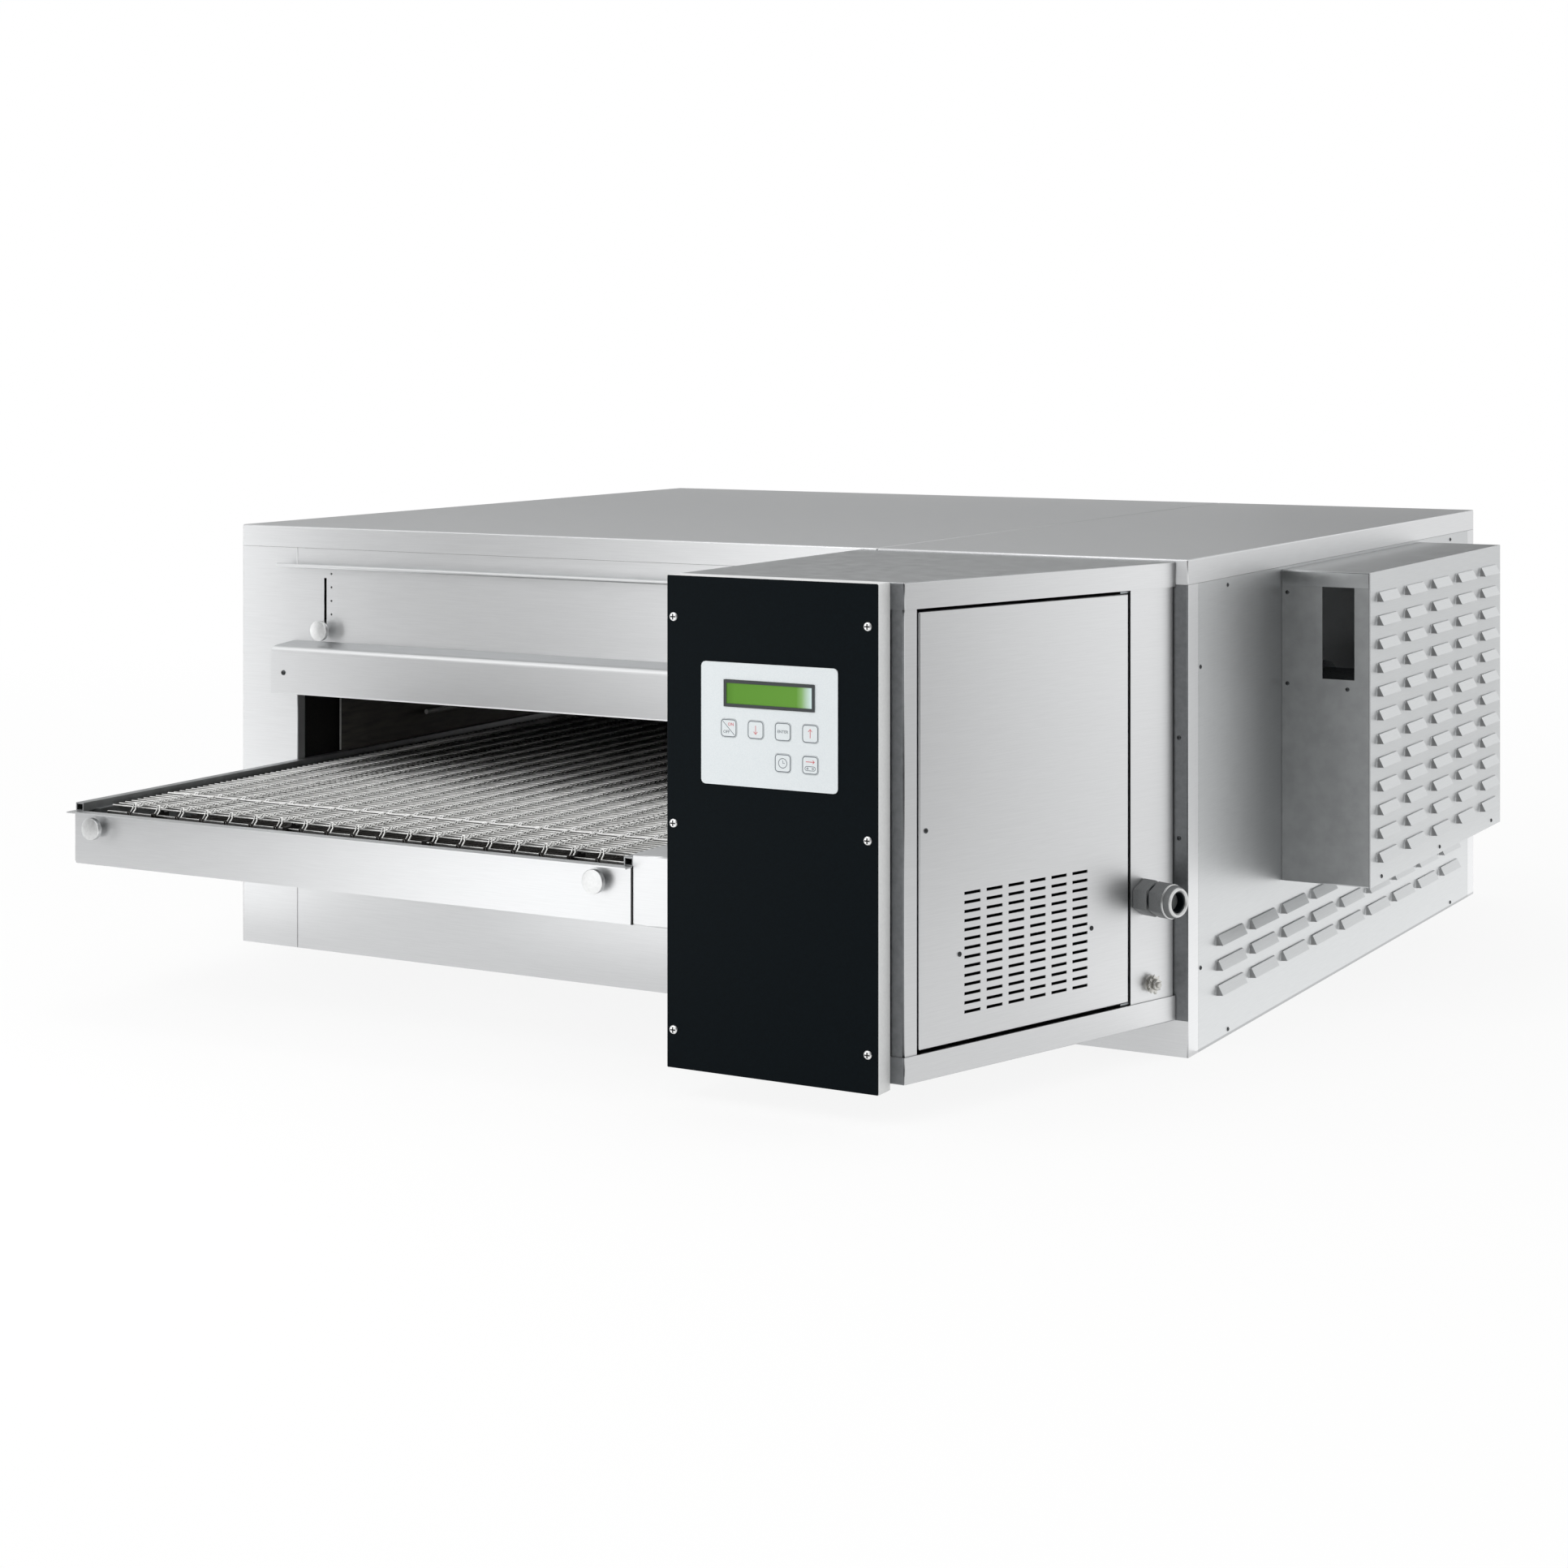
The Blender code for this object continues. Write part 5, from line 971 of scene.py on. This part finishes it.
for node, side in (("front_upper_panel", -1), ("rear_upper_panel", 1)):
    low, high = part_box(node)
    edge = side * (max(abs(low.y), abs(high.y)) - HEM_R)
    bm = bmesh.new()
    put(bm, wire_mesh([(low.x, edge, HEM_Z), (high.x, edge, HEM_Z)], HEM_R, rounding=2), Matrix())
    make_piece(node + "_hem", bm, (WALLS,), "oven", smooth=60)
    bm = bmesh.new()
    for up in LEVELS:
        seat = Matrix.Translation((MARK_X, side * (MARK_T / 4 - FRONT_Y), up)) @ facing((0, side, 0))
        bmesh.ops.create_cone(
            bm, cap_ends=True, segments=12, radius1=MARK_R, radius2=MARK_R, depth=MARK_T, matrix=seat
        )
    make_piece(node + "_levels", bm, (RECESS_PAINTED_SHADE,), "oven")
for node, side in (("front_drawer", -1), ("rear_drawer", 1)):
    bm = bmesh.new()
    near, far = sorted((side * SEAL_LOW[1], side * SEAL_HIGH[1]))
    bar(bm, (SEAL_LOW[0], near, SEAL_LOW[2]), (SEAL_HIGH[0], far, SEAL_HIGH[2]), SEAL_EDGE)
    make_piece(node + "_seal", bm, (RUBBER,), node)
print("level marks:", len(LEVELS), "at each end")

# %% Lap, liner and probe
LAP_Z = 0.514
SHEET_EDGE = 0.0003
LINER_BAR = (-0.5893, -0.4825, 0.254), (-0.5875, -0.4800, 0.40)
BRACKET_BAR = (-0.5893, -0.232, 0.2845), (-0.575, -0.226, 0.2895)
PROBE_R = 0.0035
PROBE_ENDS = [(-0.5765, -0.299, 0.287), (-0.5765, -0.214, 0.287)]
box_low, box_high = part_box("motor_cover")
lap_low = (box_low.x + 0.001, cover_y - 0.0008, LAP_Z)
lap_high = (box_high.x, cover_y + 0.0004, box_high.z - 0.0016)
bm = bmesh.new()
bar(bm, lap_low, lap_high, SHEET_EDGE)
make_piece("motor_cover_lap", bm, (DULL_PAINTED_SHADE,), "oven")
bm = bmesh.new()
bar(bm, *LINER_BAR, SHEET_EDGE)
bar(bm, *BRACKET_BAR, SEAL_EDGE)
put(bm, wire_mesh(PROBE_ENDS, PROBE_R, rounding=3), Matrix())
make_piece("tunnel_liner_and_probe", bm, (LINER,), "oven", smooth=60)
print("lap from z =", LAP_Z, "probe radius", PROBE_R)

# %% [markdown]
# ## Key prints
# The keypad is a film printed on its back: each key has a rounded frame and a sign. Lines of ink are drawn as
# wires and pressed flat, and the two words on the first key and the one on the third are text made into
# meshes. All of them ride on their key, so they go in with it.

# %% Inked signs
INK_T = 0.00012
INK_SINK = 0.00004
FRAME_HALF, FRAME_ROUND, FRAME_LINE = 8.9, 3.2, 0.9


def ink(bm, points, width, closed, material):
    """One inked line on a key, in the key's own plane, in millimetres."""
    mesh = wire_mesh([(x / 1000, y / 1000, 0) for x, y in points], width / 2000, closed)
    put(bm, mesh, Matrix.Diagonal((1, 1, 2000 * INK_T / width, 1)), material)


def words(bm, text, size, x, y, material):
    """A word on a key, centred at a point in millimetres."""
    font = bpy.data.curves.new("word", "FONT")
    font.body = text
    font.size = size / 1000
    font.align_x = "CENTER"
    font.align_y = "CENTER"
    font.extrude = INK_T / 2
    font.resolution_u = 2
    holder = bpy.data.objects.new("word", font)
    mesh = bpy.data.meshes.new_from_object(holder)
    bpy.data.objects.remove(holder)
    put(bm, mesh, Matrix.Translation((x / 1000, y / 1000, 0)), material)


def arc(radius, start, end, steps, x=0.0, y=0.0):
    """Points on an arc, with angles in turns."""
    angles = [math.tau * (start + (end - start) * i / steps) for i in range(steps + 1)]
    return [(x + radius * math.cos(a), y + radius * math.sin(a)) for a in angles]


def key_frame(half, radius):
    """A rounded square."""
    points = []
    for quarter, (sx, sy) in enumerate(((1, 1), (-1, 1), (-1, -1), (1, -1))):
        points += arc(radius, quarter / 4, quarter / 4 + 0.25, 3, sx * (half - radius), sy * (half - radius))
    return points


GREY, RED = 0, 1
ARROW_UP = [[(0, -4.5), (0, 4.5)], [(-2.2, 2.0), (0, 4.8), (2.2, 2.0)]]
SIGNS = {
    "key_power": [(GREY, 0.6, [(-7, 7), (7, -7)], False)],
    "key_down": [(RED, 0.7, [(x, -y) for x, y in line], False) for line in ARROW_UP],
    "key_enter": [],
    "key_up": [(RED, 0.7, line, False) for line in ARROW_UP],
    "key_timer": [(GREY, 0.7, arc(5, 0, 1, 20)[:-1], True), (GREY, 0.6, [(0, 3), (0, 0), (2.4, 0)], False)],
    "key_belt": [
        (RED, 0.7, [(-5, 3.5), (5, 3.5)], False),
        (RED, 0.7, [(3, 5.2), (5.2, 3.5), (3, 1.8)], False),
        (GREY, 0.6, arc(2.2, -0.25, 0.25, 6, 4, -3.5) + arc(2.2, 0.25, 0.75, 6, -4, -3.5), True),
        (GREY, 0.6, arc(0.9, 0, 1, 8, -3.2, -3.5)[:-1], True),
        (GREY, 0.6, arc(0.9, 0, 1, 8, 3.2, -3.5)[:-1], True),
    ],
}
for node, lines in SIGNS.items():
    low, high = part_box(node)
    bm = bmesh.new()
    ink(bm, key_frame(FRAME_HALF, FRAME_ROUND), FRAME_LINE, True, GREY)
    for colour, width, points, closed in lines:
        ink(bm, points, width, closed, colour)
    if node == "key_power":
        words(bm, "ON", 4.6, 2.6, 4.0, RED)
        words(bm, "OFF", 4.6, -2.6, -4.0, GREY)
    if node == "key_enter":
        words(bm, "ENTER", 4.4, 0, 0, GREY)
    middle = ((low.x + high.x) / 2, low.y - INK_SINK, (low.z + high.z) / 2)
    bmesh.ops.transform(bm, matrix=Matrix.Translation(middle) @ facing(FRONT), verts=bm.verts)
    make_piece(node + "_sign", bm, (INK_GREY, INK_RED), node)
    print(node, "sign lines:", len(lines))

# %% [markdown]
# ## Display
# The window is a flat glass with a dark moulded frame round it. The frame is the window's own outline, inset
# once, with the ring raised.

# %% Display window and bezel
BEZEL = 0.0034
BEZEL_UP = 0.0006
bm = bmesh.new()
width, height = window_high.x - window_low.x, window_high.z - window_low.z
size = Matrix.Diagonal((width, height, 1, 1))
bmesh.ops.create_grid(bm, x_segments=1, y_segments=1, size=0.5, matrix=size)
bmesh.ops.inset_region(bm, faces=bm.faces[:], thickness=BEZEL, use_even_offset=True, use_boundary=True)
centre_face = min(bm.faces, key=lambda f: f.calc_center_median().length)
ring = [f for f in bm.faces if f is not centre_face]
centre_face.material_index = 1
swept = bmesh.ops.extrude_face_region(bm, geom=ring)
bmesh.ops.translate(bm, verts=new_verts(swept), vec=(0, 0, BEZEL_UP))
bmesh.ops.recalc_face_normals(bm, faces=bm.faces)
middle = ((window_low.x + window_high.x) / 2, window_low.y - 0.0001, (window_low.z + window_high.z) / 2)
bmesh.ops.transform(bm, matrix=Matrix.Translation(middle) @ facing(FRONT), verts=bm.verts)
make_piece("display_bezel", bm, (DARK, DISPLAY_PAINTED_LIGHT), "oven")
print("bezel", round(width, 4), "x", round(height, 4))

# %% [markdown]
# ## Other nodes
# What is left of the frame keeps its own mesh and takes a finish. Much of it is only seen with the door open
# or through the mouth, and it gets the finish that the real piece has, except that the tunnel, the belt's
# shafts and carrier and the rails are darker as painted shade.

# %% Finishes on the frame's own nodes
OWN = {
    "stainless": WALLS,
    "galvanised": ZINC,
    "steel_wire": WIRE,
    "mineral_wool": WOOL,
    "cast_aluminium": CAST,
    "black_enamel": BLACK,
    "turned_steel": TURNED,
    "grey_plastic": POLYAMIDE,
    "keypad_film": FILM,
    "display_glass": DISPLAY_PAINTED_LIGHT,
    "brass": BRASS,
}
# Darker finishes here are painted shade: the tunnel, the belt's shafts and carrier, and the rails
SPECIAL = {
    "baking_hood": TUNNEL_PAINTED_SHADE,
    "lower_diffuser": TUNNEL_PAINTED_SHADE,
    "base_pan": ZINC,
    "electric_gear": DARK,
    "drive_shaft": SHAFT_PAINTED_SHADE,
    "idler_shaft": SHAFT_PAINTED_SHADE,
    "belt_carrier": SHAFT_PAINTED_SHADE,
    "left_rail": DULL_PAINTED_SHADE,
    "right_rail": DULL_PAINTED_SHADE,
}
dressed = 0
for node, obj in frame["nodes"].items():
    if obj.hide_render:
        continue
    obj.data.materials.clear()
    obj.data.materials.append(SPECIAL.get(node, OWN[slot_of[node]]))
    dressed += 1
print("nodes with their own mesh:", dressed)
